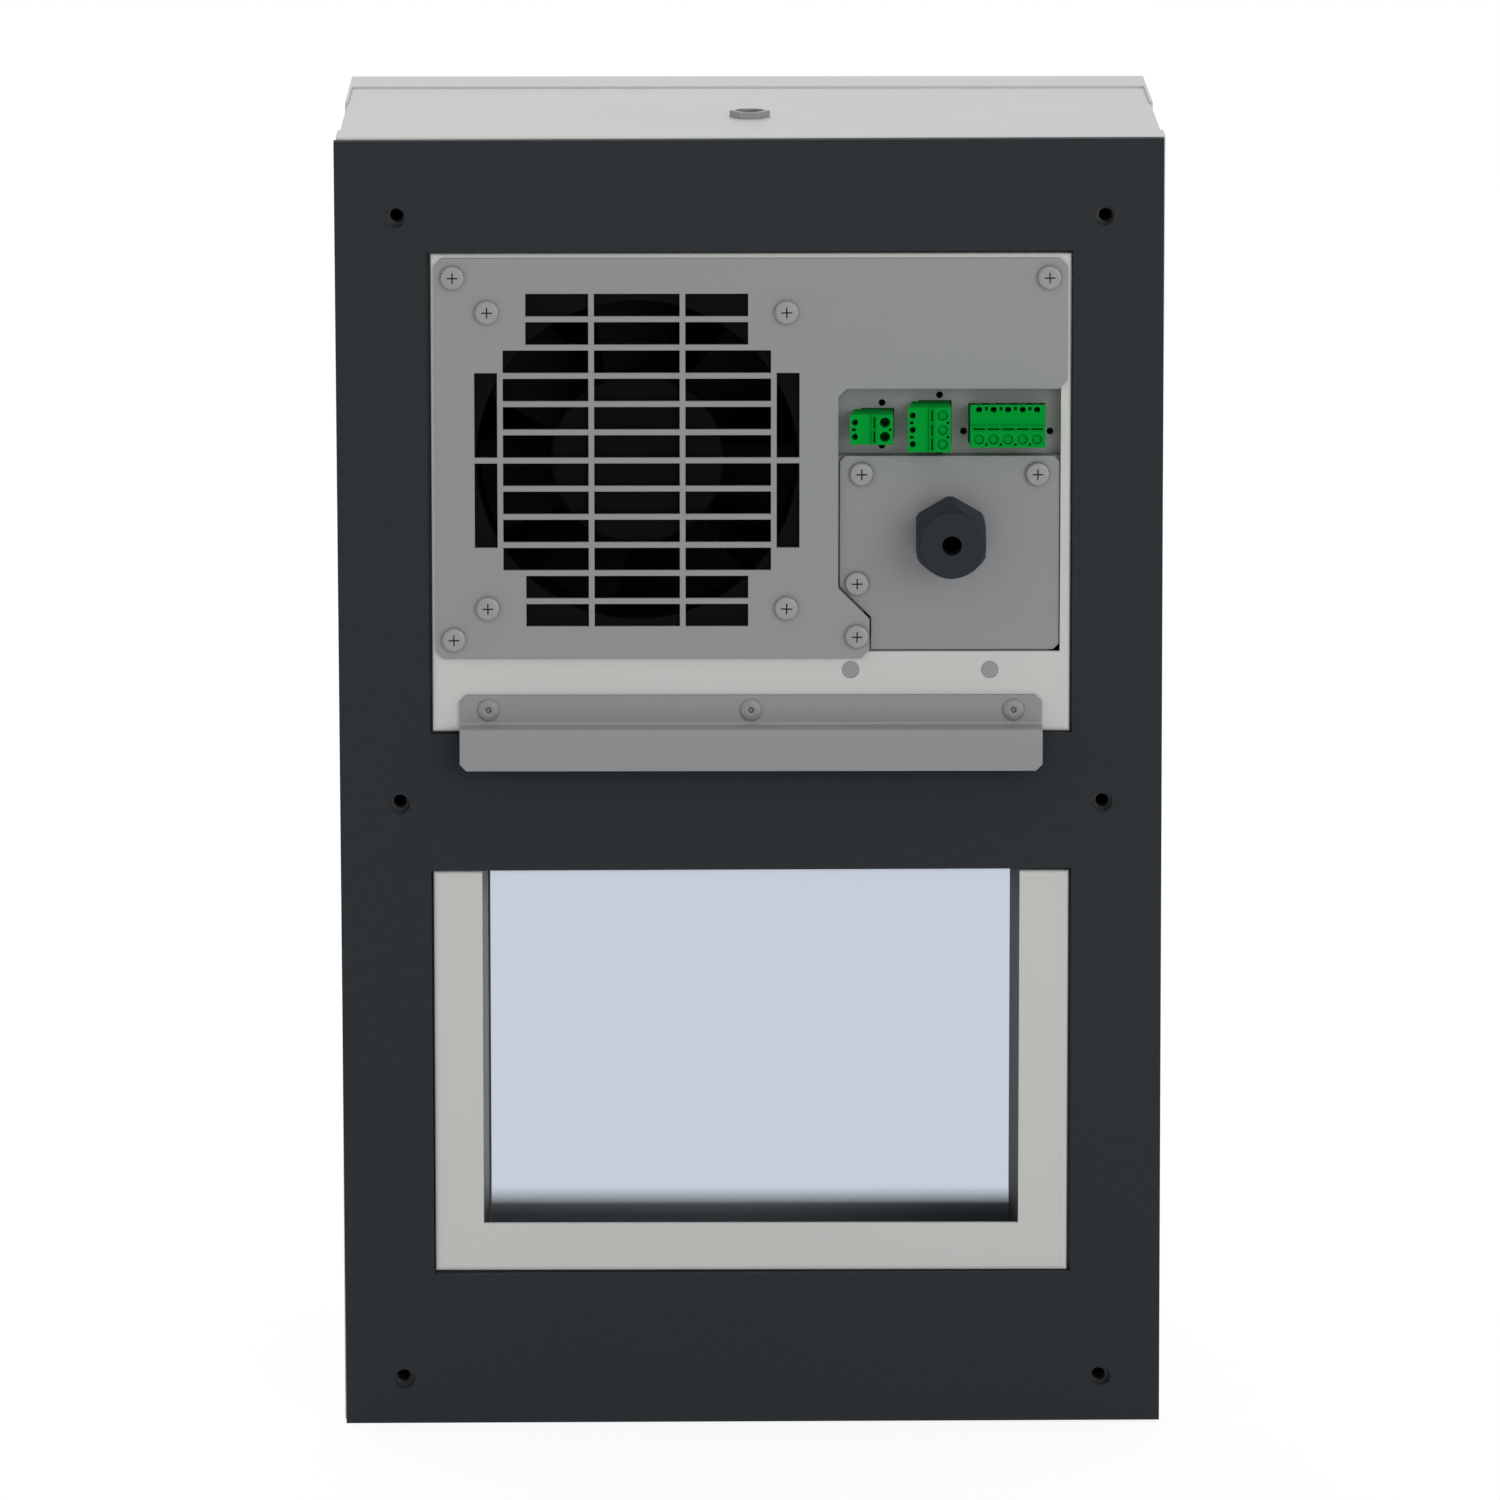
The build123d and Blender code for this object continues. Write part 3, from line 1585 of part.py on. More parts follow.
# Run capacitor, lying across the top of the terminal box
def run_capacitor():
    half = capacitor_length / 2
    y = box_back - capacitor_radius
    body = Pos(capacitor_x, y, capacitor_z) * Rot(0, quarter_turn, 0) * Cylinder(capacitor_radius, 2 * half)
    return chamfer(body.edges().filter_by(GeomType.CIRCLE), capacitor_chamfer)


nodes = {
    "mounting_pan": mounting_pan(),
    "gasket": gasket(),
    "mounting_inserts": mounting_inserts(),
    "fan_plate": fan_plate(),
    "plate_screws": [screw(x, z, plate_face, plate_screw_length) for x, z in plate_screws],
    "fan_screws": [
        screw(x, z, plate_face, fan_screw_length) for x, z in fan_corners(cold_fan_x, cold_fan_z)
    ],
    "terminal_box": terminal_box(),
    "gland_plate": gland_plate(),
    "gland_plate_screws": [screw(x, z, gland_plate_face, plate_screw_length) for x, z in gland_screws],
    "gland_body": gland_body(),
    "gland_nut": gland_nut(),
    "gland_seal": gland_seal(),
    "gland_lock_nut": gland_lock_nut(),
    "connector_panel": connector_panel(),
    "hook_bracket": hook_bracket(),
    "bracket_rivets": bracket_rivets(),
    "flush_studs": flush_studs(),
    "cold_fan_frame": fan_frame(cold_fan_x, cold_fan_z, panel_face, cold_fan_depth),
    "cold_fan_rotor": fan_rotor(cold_fan_x, cold_fan_z, panel_face, cold_fan_depth),
    "duct_liner": duct_liner(),
    "insulation": insulation(),
    "partition_wall": partition_wall(),
    "evaporator_fins": evaporator_fins(),
    "evaporator_tubes": evaporator_tubes(),
    "evaporator_end_plates": evaporator_end_plates(),
    "condensate_tray": condensate_tray(),
    "drain_hose": drain_hose(),
    "drain_spigot": drain_spigot(),
    "housing_wrap": housing_wrap(),
    "front_cover": front_cover(),
    "cover_screws": cover_screws(),
    "lifting_insert": lifting_insert(),
    "condenser_shroud": condenser_shroud(),
    "condenser_core": condenser_core(),
    "condenser_headers": condenser_headers(),
    "warm_fan_frame": fan_frame(0, condenser_z, shroud_y - warm_fan_depth, warm_fan_depth),
    "warm_fan_rotor": fan_rotor(0, condenser_z, shroud_y - warm_fan_depth, warm_fan_depth),
    "compressor_shell": compressor_shell(),
    "compressor_base_plate": compressor_base_plate(),
    "compressor_feet": compressor_feet(),
    "compressor_bolts": compressor_bolts(),
    "compressor_terminal_cover": compressor_terminal_cover(),
    "discharge_pipe": discharge_pipe(),
    "liquid_pipe": liquid_pipe(),
    "filter_drier": filter_drier(),
    "capillary_tube": capillary_tube(),
    "suction_pipe": suction_pipe(),
    "control_board": control_board(),
    "board_standoffs": board_standoffs(),
    "board_relays": board_relays(),
    "board_transformer": board_transformer(),
    "connector_board": connector_board(),
    "run_capacitor": run_capacitor(),
}
for key in plug_table:
    nodes["plug_" + key] = plug(key)
    nodes["header_" + key] = header(key)

os.makedirs("parts", exist_ok=True)
for name, shape in nodes.items():
    solids = shape if isinstance(shape, list) else [shape]
    whole = Compound([solid for piece in solids for solid in piece.solids()])
    export_step(whole, "parts/" + name + ".step")
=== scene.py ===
import math

import bmesh
import bpy
from mathutils import Matrix, Vector


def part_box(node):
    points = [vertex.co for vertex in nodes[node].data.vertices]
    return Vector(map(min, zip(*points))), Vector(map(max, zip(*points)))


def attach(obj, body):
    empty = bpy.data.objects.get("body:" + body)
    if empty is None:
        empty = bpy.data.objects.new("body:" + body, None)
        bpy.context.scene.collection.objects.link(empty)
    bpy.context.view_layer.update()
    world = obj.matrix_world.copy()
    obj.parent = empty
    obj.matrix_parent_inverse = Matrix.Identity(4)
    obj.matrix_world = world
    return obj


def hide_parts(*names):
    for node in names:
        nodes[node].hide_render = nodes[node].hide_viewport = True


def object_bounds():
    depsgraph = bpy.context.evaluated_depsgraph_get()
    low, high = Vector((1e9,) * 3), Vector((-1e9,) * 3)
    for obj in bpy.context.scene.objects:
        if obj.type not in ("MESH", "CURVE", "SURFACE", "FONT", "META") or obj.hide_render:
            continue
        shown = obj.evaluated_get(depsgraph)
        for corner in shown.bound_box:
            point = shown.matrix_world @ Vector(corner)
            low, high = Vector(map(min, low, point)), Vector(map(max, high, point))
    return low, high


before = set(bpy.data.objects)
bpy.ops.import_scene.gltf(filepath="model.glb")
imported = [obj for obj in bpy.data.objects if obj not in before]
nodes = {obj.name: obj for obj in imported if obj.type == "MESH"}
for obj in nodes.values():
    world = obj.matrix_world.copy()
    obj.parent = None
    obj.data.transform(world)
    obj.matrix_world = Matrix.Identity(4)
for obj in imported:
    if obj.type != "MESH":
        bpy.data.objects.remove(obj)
cad_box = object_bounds()
scene = bpy.context.scene


# Studio: a pale floor under an even sky, a wide soft lamp in front and one behind, above the unit.
# The camera stands a little above the unit and looks down on its mounting side through a long lens.
scene.view_settings.view_transform = "Standard"
camera_place = Vector((-0.0240, -3.5750, 0.6740))
camera_target = Vector((-0.00035, -0.0050, 0.01915))
camera = bpy.data.objects.new("camera", bpy.data.cameras.new("camera"))
scene.collection.objects.link(camera)
camera.location = camera_place
camera.rotation_euler = (camera_target - camera_place).to_track_quat("-Z", "Y").to_euler()
camera.data.lens = 247.0
camera.data.sensor_width = 36.0
camera.data.clip_end = 60.0
scene.camera = camera


class Tap:
    """One socket, which plain sums work on."""

    def __init__(self, tree, socket):
        self.tree = tree
        self.socket = socket

    def sum_node(self, operation, first, second):
        return self.tree.node("Math", {"operation": operation}, {0: first, 1: second})

    def __add__(self, other):
        return self.sum_node("ADD", self, other)

    def __radd__(self, other):
        return self.sum_node("ADD", other, self)

    def __sub__(self, other):
        return self.sum_node("SUBTRACT", self, other)

    def __rsub__(self, other):
        return self.sum_node("SUBTRACT", other, self)

    def __mul__(self, other):
        return self.sum_node("MULTIPLY", self, other)

    def __rmul__(self, other):
        return self.sum_node("MULTIPLY", other, self)

    def __gt__(self, other):
        return self.sum_node("GREATER_THAN", self, other)

    def __lt__(self, other):
        return self.sum_node("LESS_THAN", self, other)


class Tree:
    """The nodes of a material or of the sky."""

    def __init__(self, tree):
        self.tree = tree

    def node(self, kind, settings=None, inputs=None, output=0):
        made = self.tree.nodes.new("ShaderNode" + kind)
        for key, value in (settings or {}).items():
            setattr(made, key, value)
        for key, value in (inputs or {}).items():
            if isinstance(value, Tap):
                self.tree.links.new(value.socket, made.inputs[key])
            else:
                made.inputs[key].default_value = value
        return Tap(self, made.outputs[output]) if made.outputs else None

    def lesser(self, first, second):
        return self.node("Math", {"operation": "MINIMUM"}, {0: first, 1: second})

    def blend(self, share, first, second):
        shades = [c if isinstance(c, Tap) else (*c, 1.0) for c in (first, second)]
        return self.node("Mix", {"data_type": "RGBA"}, {0: share, 6: shades[0], 7: shades[1]}, 2)


sky_level = 0.62
scene.world = bpy.data.worlds.new("sky")
scene.world.use_nodes = True
sky = Tree(scene.world.node_tree)
shown = sky.node("LightPath", output="Is Camera Ray")
shown = shown + sky.node("LightPath", output="Is Glossy Ray")
shown = shown + sky.node("LightPath", output="Is Transmission Ray")
strength = sky_level + (1.0 - sky_level) * sky.lesser(shown, 1.0)
backdrop = sky.tree.nodes["Background"]
sky.tree.links.new(strength.socket, backdrop.inputs["Strength"])
backdrop.inputs["Color"].default_value = (1.0, 1.0, 1.0, 1.0)


def lamp(name, place, width, power):
    light = bpy.data.lights.new(name, "AREA")
    light.shape = "DISK"
    light.size = width
    light.energy = power
    made = bpy.data.objects.new(name, light)
    scene.collection.objects.link(made)
    made.location = place
    made.rotation_euler = (-Vector(place)).to_track_quat("-Z", "Y").to_euler()


lamp("front_lamp", place=(1.9, -3.3, 1.0), width=2.4, power=33.0)
lamp("rear_lamp", place=(-0.6, 2.4, 3.4), width=2.4, power=26.0)

floor_reach = 14.0
floor_low = cad_box[0][2]
floor_corners = ((-1, -1), (1, -1), (1, 1), (-1, 1))
floor_points = [(floor_reach * x, floor_reach * y, floor_low) for x, y in floor_corners]
floor_mesh = bpy.data.meshes.new("floor")
floor_mesh.from_pydata(floor_points, [], [(0, 1, 2, 3)])
floor = bpy.data.objects.new("floor", floor_mesh)
scene.collection.objects.link(floor)

glow_share = 0.78
floor_paint = bpy.data.materials.new("floor_paper")
floor_paint.use_nodes = True
paper = Tree(floor_paint.node_tree)
paper.tree.nodes.clear()
matt = paper.node("BsdfDiffuse", inputs={"Color": (0.86, 0.86, 0.86, 1.0)})
glow = paper.node("Emission", inputs={"Color": (1.0, 1.0, 1.0, 1.0), "Strength": 1.12})
seen = paper.node("LightPath", output="Is Camera Ray") + paper.node("LightPath", output="Is Glossy Ray")
mixed = paper.node("MixShader", inputs={0: seen * glow_share, 1: matt, 2: glow})
paper.node("OutputMaterial", inputs={"Surface": mixed})
floor_mesh.materials.append(floor_paint)


# Casing: mounting pan, housing wrap and front cover, cut and folded from steel sheet and screwed together.
# Light grey powder coat with a fine orange peel. On the pan, painted light makes it paler over the panels'
# folded edges, and painted shade makes it dark round the pressed-in inserts, on the panels' left sides and in
# the narrow gap between the panels' foot and the gasket.
class Finish(Tree):
    """A material with one shader and places in the part's own frame, in metres."""

    def __init__(self, name, constants):
        self.material = bpy.data.materials.new(name)
        self.material.use_nodes = True
        super().__init__(self.material.node_tree)
        self.shader = self.tree.nodes["Principled BSDF"]
        self.place = self.node("TexCoord", output="Object")
        for key, value in constants.items():
            self.shader.inputs[key].default_value = value

    def noise(self, size, detail=2.0, stretch=None):
        place = self.place
        if stretch:
            place = self.node("VectorMath", {"operation": "MULTIPLY"}, {0: place, 1: stretch})
        return self.node("TexNoise", inputs={"Vector": place, "Scale": 1.0 / size, "Detail": detail})

    def axis(self, name, vector=None):
        return self.node("SeparateXYZ", inputs={"Vector": vector or self.place}, output=name)

    def size_of(self, value):
        return self.node("Math", {"operation": "ABSOLUTE"}, {0: value})

    def between(self, value, low, high, settings=None):
        return self.node("MapRange", settings, {"Value": value, "From Min": low, "From Max": high})

    def finish(self, colour, rough, height, depth, edge=0.0003, metal=0.0, normal=None):
        """Edges look rounded by the radius edge, unless a normal is given."""
        if normal is None:
            normal = self.node("Bevel", {"samples": 6}, {"Radius": edge})
        relief = {"Height": height, "Distance": depth, "Strength": 1.0, "Normal": normal}
        normal = self.node("Bump", inputs=relief)
        wanted = {"Base Color": colour, "Roughness": rough, "Metallic": metal, "Normal": normal}
        for key, value in wanted.items():
            if isinstance(value, Tap):
                self.tree.links.new(value.socket, self.shader.inputs[key])
            else:
                self.shader.inputs[key].default_value = value
        return self.material


def tint(colour, factor):
    return tuple(min(channel * factor, 1.0) for channel in colour)


def dress(material, *names):
    for name in names:
        slots = nodes[name].data.materials
        slots.clear()
        slots.append(material)


def powder_coat(name, colour, rough=0.45, painted_light_and_shade=None):
    coat = Finish(name, {"Specular IOR Level": 0.4})
    drift = coat.noise(0.06)
    grain = coat.noise(0.0007, 1.0)
    shade = coat.blend(drift * 0.6 + grain * 0.4, tint(colour, 0.975), tint(colour, 1.025))
    if painted_light_and_shade:
        shade = painted_light_and_shade(coat, shade)
    peel = coat.noise(0.0016, 1.0) * 0.7 + grain * 0.3
    return coat.finish(shade, rough + (drift - 0.5) * 0.12, peel, 0.00004, edge=0.0004)


def solids_of(name):
    """Middle and half size of each separate solid of a node."""
    work = bmesh.new()
    work.from_mesh(nodes[name].data)
    bmesh.ops.remove_doubles(work, verts=work.verts, dist=0.000001)
    left = set(work.verts)
    found = []
    while left:
        reached = [left.pop()]
        group = []
        while reached:
            vert = reached.pop()
            group.append(vert.co.copy())
            for edge in vert.link_edges:
                other = edge.other_vert(vert)
                if other in left:
                    left.remove(other)
                    reached.append(other)
        low = Vector([min(point[axis] for point in group) for axis in range(3)])
        high = Vector([max(point[axis] for point in group) for axis in range(3)])
        found.append(((low + high) / 2, (high - low) / 2))
    work.free()
    return sorted(found, key=lambda solid: tuple(solid[0]))


housing_grey = (0.606, 0.615, 0.590)
insert_ring = 0.0052
insert_ring_painted_shade = (0.035, 0.036, 0.037)
insert_places = [middle for middle, half in solids_of("mounting_inserts")]
insert_aside = max(place.x for place in insert_places)
insert_row = max(place.z for place in insert_places)
panel_face = -0.0040
bend_end = panel_face + 0.0006
gap_start = -0.0016
gap_end = -0.0010
sheet_face = 0.0003
gap_painted_shade = (0.058, 0.066, 0.070)


def pan_painted_light_and_shade(coat, shade):
    """Painted shade round the inserts, painted light over the panels' folds, and painted shade on their left
    sides and in the gap by the gasket.
    """
    across = coat.size_of(coat.axis("X")) - insert_aside
    height = coat.size_of(coat.axis("Z"))
    up = coat.lesser(height, coat.size_of(height - insert_row))
    away = coat.node("Math", {"operation": "SQRT"}, {0: across * across + up * up})
    # Painted shade: near black round each insert, where the gasket's holes lie in shade.
    shade = coat.blend(away < insert_ring, shade, insert_ring_painted_shade)
    depth = coat.axis("Y")
    # Painted light: the coat is made paler over the panels' folded edges.
    painted_light_bends = coat.between(depth, panel_face, bend_end) * coat.between(depth, gap_end, gap_start)
    shade = coat.blend(painted_light_bends, shade, tint(housing_grey, 1.55))
    outward = coat.node("NewGeometry", output="Normal")
    proud = depth < sheet_face
    behind_face = coat.between(depth, panel_face + 0.0002, panel_face + 0.0010)
    # Painted shade: the panels' left sides, just behind their face, are made dark.
    left_painted_shade = coat.axis("X", outward) < -0.80
    shade = coat.blend(behind_face * left_painted_shade * proud, shade, tint(housing_grey, 0.30))
    # Painted shade: the pan's face in the gap between the panels' foot and the gasket is made dark.
    forward = coat.axis("Y", outward) < -0.50
    gap = forward * proud * coat.between(depth, gap_start, gap_end)
    return coat.blend(gap, shade, gap_painted_shade)


dress(powder_coat("housing_powder_coat", housing_grey), "housing_wrap", "front_cover")
dress(powder_coat("pan_powder_coat", housing_grey, painted_light_and_shade=pan_painted_light_and_shade), "mounting_pan")


# Inserts: six round ones in the pan for the mounting bolts, and a hexagonal one in the top for an eye bolt.
# Turned from steel bar, tapped and pressed in. The six are dark steel, painted shade for their bores, and the
# top one is plated bright.
class Shape:
    """Points and faces that are gathered piece by piece and then made into one mesh."""

    def __init__(self):
        self.points = []
        self.faces = []
        self.kinds = []

    def add(self, points, faces, kind=0):
        start = len(self.points)
        self.points += [Vector(point) for point in points]
        self.faces += [[start + corner for corner in face] for face in faces]
        self.kinds += [kind] * len(faces)

    def join(self, other, matrix):
        """Adds another shape's faces, moved by a matrix, with their materials."""
        start = len(self.points)
        self.points += [matrix @ point for point in other.points]
        self.faces += [[start + corner for corner in face] for face in other.faces]
        self.kinds += other.kinds

    def block(self, low, high):
        """A plain box between two corners."""
        across, deep, upward = zip(low, high)
        points = [(x, y, z) for x in across for y in deep for z in upward]
        sides = [[0, 1, 3, 2], [4, 6, 7, 5], [0, 4, 5, 1], [2, 3, 7, 6], [0, 2, 6, 4], [1, 5, 7, 3]]
        self.add(points, sides)

    def turn(self, outline, count=40):
        """Turns an outline of (radius, depth) points about the depth axis."""
        angles = [2 * math.pi * step / count for step in range(count)]
        points = [(r * math.cos(a), y, r * math.sin(a)) for r, y in outline for a in angles]
        faces = []
        for row in range(len(outline) - 1):
            for step in range(count):
                near, far = row * count + step, row * count + (step + 1) % count
                faces.append([near, far, far + count, near + count])
        self.add(points, faces)

    def thread(self, root, crest, pitch, low, high, count=24):
        """A helical ridge about the depth axis, cut off square at both ends."""
        profile = ((root, 0.0), (root, 0.12), (crest, 0.44), (crest, 0.68))
        wide = len(profile)
        total = int((high - low) / pitch + 2) * count
        points = []
        for step in range(total):
            angle = 2 * math.pi * step / count
            start = low - pitch + pitch * step / count
            for radius, share in profile:
                depth = min(max(start + share * pitch, low), high)
                points.append((radius * math.cos(angle), depth, radius * math.sin(angle)))
        faces = []
        for step in range(total - 1):
            ring = [wide * step + corner for corner in range(wide)]
            after = [corner + wide for corner in ring]
            turn = step + count
            if turn + 1 < total:
                ring.append(wide * turn)
                after.append(wide * turn + wide)
            for corner in range(len(ring) - 1):
                faces.append([ring[corner], ring[corner + 1], after[corner + 1], after[corner]])
        self.add(points, faces)

    def made(self, name, finishes, body, *replaced, crease=32.0):
        """Makes the mesh a piece that moves with a body, in place of the named nodes."""
        mesh = bpy.data.meshes.new(name)
        mesh.from_pydata([tuple(point) for point in self.points], [], self.faces)
        for face, kind in zip(mesh.polygons, self.kinds):
            face.material_index = kind
        work = bmesh.new()
        work.from_mesh(mesh)
        bmesh.ops.remove_doubles(work, verts=work.verts, dist=0.000001)
        bmesh.ops.dissolve_degenerate(work, edges=work.edges, dist=0.000001)
        bmesh.ops.recalc_face_normals(work, faces=work.faces)
        work.to_mesh(mesh)
        work.free()
        mesh.shade_smooth()
        mesh.set_sharp_from_angle(angle=math.radians(crease))
        for material in finishes:
            mesh.materials.append(material)
        piece = bpy.data.objects.new(name, mesh)
        scene.collection.objects.link(piece)
        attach(piece, body)
        if replaced:
            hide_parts(*replaced)
        return piece


def plated_steel(name, colour, rough=0.40, metal=0.35):
    plate = Finish(name, {"Specular IOR Level": 0.4})
    clouds = plate.noise(0.003, 3.0)
    fine = plate.noise(0.0003)
    shade = plate.blend(clouds, tint(colour, 0.93), tint(colour, 1.07))
    return plate.finish(shade, rough + (clouds - 0.5) * 0.2, fine, 0.000004, metal=metal)


bright = plated_steel("bright_plating", (0.305, 0.307, 0.312), metal=0.25)
# Dark steel: painted shade, for the six inserts and for the screws' cross recesses.
painted_shade_steel = plated_steel("insert_painted_shade_steel", (0.050, 0.052, 0.054), rough=0.5, metal=0.3)
dress(painted_shade_steel, "mounting_inserts")
dress(bright, "lifting_insert")

group = Shape()
for middle, half in solids_of("mounting_inserts"):
    ridge = Shape()
    ridge.thread(root=0.00252, crest=0.00222, pitch=0.001, low=0.0006, high=2 * half.y - 0.0004)
    group.join(ridge, Matrix.Translation((middle.x, middle.y - half.y, middle.z)))
group.made("mounting_insert_threads", [painted_shade_steel], "unit")

lift_low, lift_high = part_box("lifting_insert")
lift_foot = ((lift_low.x + lift_high.x) / 2, (lift_low.y + lift_high.y) / 2, lift_low.z)
lift_end = lift_high.z - lift_low.z - 0.0008
ridge = Shape()
ridge.thread(root=0.00502, crest=0.00455, pitch=0.0015, low=0.0004, high=lift_end, count=32)
upright = Shape()
upright.join(ridge, Matrix.Translation(lift_foot) @ Matrix.Rotation(math.pi / 2, 4, "X"))
upright.made("lifting_insert_thread", [bright], "unit")


# Gasket: one sheet of dark closed-cell foam, punched with two windows and six holes and stuck to the pan.
# Its moulded skin is smooth and matt, with faint pores.
def foam_rubber(name, colour):
    foam = Finish(name, {"Specular IOR Level": 0.18, "Sheen Weight": 0.06, "Sheen Roughness": 0.5})
    drift = foam.noise(0.09, 3.0)
    cells = foam.node("TexVoronoi", {"feature": "F1"}, {"Vector": foam.place, "Scale": 1.0 / 0.0011})
    pores = foam.between(cells, 0.05, 0.45)
    shade = foam.blend(drift, tint(colour, 0.96), tint(colour, 1.04))
    shade = foam.blend(pores, tint(colour, 0.84), shade)
    return foam.finish(shade, 0.82 + (drift - 0.5) * 0.12, pores + drift * 0.4, 0.00004, edge=0.0004)


dress(foam_rubber("gasket_foam", (0.0245, 0.0300, 0.0335)), "gasket")


# Fan plate: a zinc-plated sheet with the guard's slots punched in it, four screws to the pan and four more
# through the fan's corners. The plating is dull and even, and keeps the faint lines of the rolling.
# The screws are cold-headed from steel wire, with a cross recess and a rolled thread, and plated.
def zinc_sheet(name, colour, along=(1.0, 1.0, 0.04), rough=0.5, metal=0.25, bend=None):
    zinc = Finish(name, {"Specular IOR Level": 0.35})
    lines = zinc.noise(0.0006, 3.0, along)
    clouds = zinc.noise(0.022, 4.0)
    shade = zinc.blend(clouds * 0.75 + lines * 0.25, tint(colour, 0.96), tint(colour, 1.04))
    if bend is not None:
        # Painted light: a paler band along the bend, for the highlight on the fold.
        bend_painted_light = zinc.between(zinc.size_of(zinc.axis("Z") - bend), 0.0011, 0.0003)
        shade = zinc.blend(bend_painted_light, shade, tint(colour, 1.3))
    rough = rough + (clouds - 0.5) * 0.14 + (lines - 0.5) * 0.1
    return zinc.finish(shade, rough, lines, 0.000006, metal=metal)


def cross_outline(reach, half, depth):
    corners = [(reach, -half), (reach, half), (half, half), (half, reach), (-half, reach), (-half, half)]
    corners += [(-x, -z) for x, z in corners]
    return [(x, depth, z) for x, z in corners]


def screw_shape(radius, height, shank, length, reach=0.00190):
    """A pan head that faces the viewer, with its seat at depth 0 and its threaded shank behind."""
    shape = Shape()
    pitch = 0.0007
    curl = min(height * 0.6, 0.0011)
    nick = 0.00008
    arc = [math.radians(angle) for angle in range(0, 91, 15)]
    rim = [(radius - curl * (1 - math.sin(a)), -height + curl * (1 - math.cos(a))) for a in arc]
    shape.turn(rim + [(radius, -nick), (radius - nick, 0.0), (shank * 0.8, 0.0)])
    core = shank - 0.55 * pitch
    shape.turn([(core, 0.0), (core, length - 0.0008), (core * 0.5, length), (0.0, length)], count=24)
    shape.thread(core - 0.00002, shank, pitch, low=0.0004, high=length - 0.0006)

    # Face of the head, as triangles between its rim and the cross
    flat = radius - curl
    count = 40
    turns = [2 * math.pi * step / count for step in range(count + 1)]
    ring = [(flat * math.cos(a), -height, flat * math.sin(a)) for a in turns[:count]]
    cross = cross_outline(reach, half=0.00022, depth=-height)
    bearings = [math.atan2(z, x) % (2 * math.pi) for x, _, z in cross]
    start = bearings.index(min(bearings))
    cross = cross[start:] + cross[:start]
    bearings = bearings[start:] + bearings[:start]
    corners = len(cross)
    faces = []
    inner = 0
    for step in range(count):
        after = (step + 1) % count
        faces.append([step, after, count + inner % corners])
        while inner < corners and bearings[inner] < turns[step + 1]:
            faces.append([after, count + (inner + 1) % corners, count + inner])
            inner += 1
    shape.add(ring + cross, faces)

    # Cross recess, which narrows towards its floor and is dark steel, painted shade
    rows = [cross]
    for share, deep in ((0.78, 0.55), (0.3, 0.85)):
        fall = -height + deep * min(height, 0.0020) * 0.8
        rows.append([(x * share, fall, z * share) for x, _, z in cross])
    faces = []
    for row in range(len(rows) - 1):
        for corner in range(corners):
            near, far = corners * row + corner, corners * row + (corner + 1) % corners
            faces.append([near, far, far + corners, near + corners])
    faces.append([corners * (len(rows) - 1) + corner for corner in range(corners)])
    shape.add([point for row in rows for point in row], faces, kind=1)
    return shape


def cross_head_screws(node):
    """One piece with all pan-head screws of a node, each turned a little in its hole."""
    height = 0.0022
    group = Shape()
    for number, (middle, half) in enumerate(solids_of(node)):
        place = Vector((middle.x, middle.y - half.y + height, middle.z))
        screw = screw_shape(half.x, height, shank=0.0020, length=2 * half.y - height)
        turned = Matrix.Rotation(math.radians(number % 3 - 1.0), 4, "Y")
        group.join(screw, Matrix.Translation(place) @ turned)
    group.made(node + "_cross_head", [bright, painted_shade_steel], "unit", node)


dress(zinc_sheet("fan_plate_zinc", (0.279, 0.288, 0.2975)), "fan_plate")
cross_head_screws("plate_screws")
cross_head_screws("fan_screws")


# Connector panel and gland plate: zinc-plated sheets in the stepped cut-out of the fan plate. The panel sits
# back in it and frames the plugs. The plate under it carries the cable gland and is held by three screws.
dress(zinc_sheet("panel_zinc", (0.315, 0.325, 0.325)), "connector_panel")
dress(zinc_sheet("gland_plate_zinc", (0.268, 0.276, 0.285)), "gland_plate")
cross_head_screws("gland_plate_screws")


# Hook bracket: a zinc-plated sheet folded to a Z, which hangs the unit in its cut-out. Three aluminium blind
# rivets with their steel mandrels hold it. Two studs are pressed flush into the panel above it.
fold_share = 0.57
bracket_low, bracket_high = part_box("hook_bracket")
bracket_fold = bracket_low.z + fold_share * (bracket_high.z - bracket_low.z)
dress(zinc_sheet("bracket_zinc", (0.271, 0.279, 0.288), bend=bracket_fold), "hook_bracket")
dress(plated_steel("stud_plating", (0.280, 0.290, 0.290), rough=0.45, metal=0.3), "flush_studs")

rivet_head = 0.0012
mandrel = [(0.0, -0.0003), (0.0006, -0.0003), (0.0007, 0.0), (0.0010, 0.0001), (0.0010, -0.0010)]
crown = [(0.0013, -rivet_head), (0.0021, -0.00118), (0.0030, -0.00098), (0.0036, -0.0007),
         (0.0039, -0.0004), (0.0040, -0.0001), (0.0040, 0.0)]
group = Shape()
for middle, half in solids_of("bracket_rivets"):
    end = 2 * half.y - rivet_head
    sleeve = [(0.00205, 0.0), (0.00205, end - 0.0020), (0.0028, end - 0.0018), (0.0030, end - 0.0010),
              (0.0024, end - 0.0002), (0.0012, end), (0.0, end)]
    rivet = Shape()
    rivet.turn(mandrel + crown + sleeve)
    group.join(rivet, Matrix.Translation((middle.x, middle.y - half.y + rivet_head, middle.z)))
rivet_skin = plated_steel("rivet_plating", (0.262, 0.265, 0.27), rough=0.5, metal=0.2)
rivets = group.made("bracket_rivets_blind", [rivet_skin], "unit", "bracket_rivets", crease=50.0)


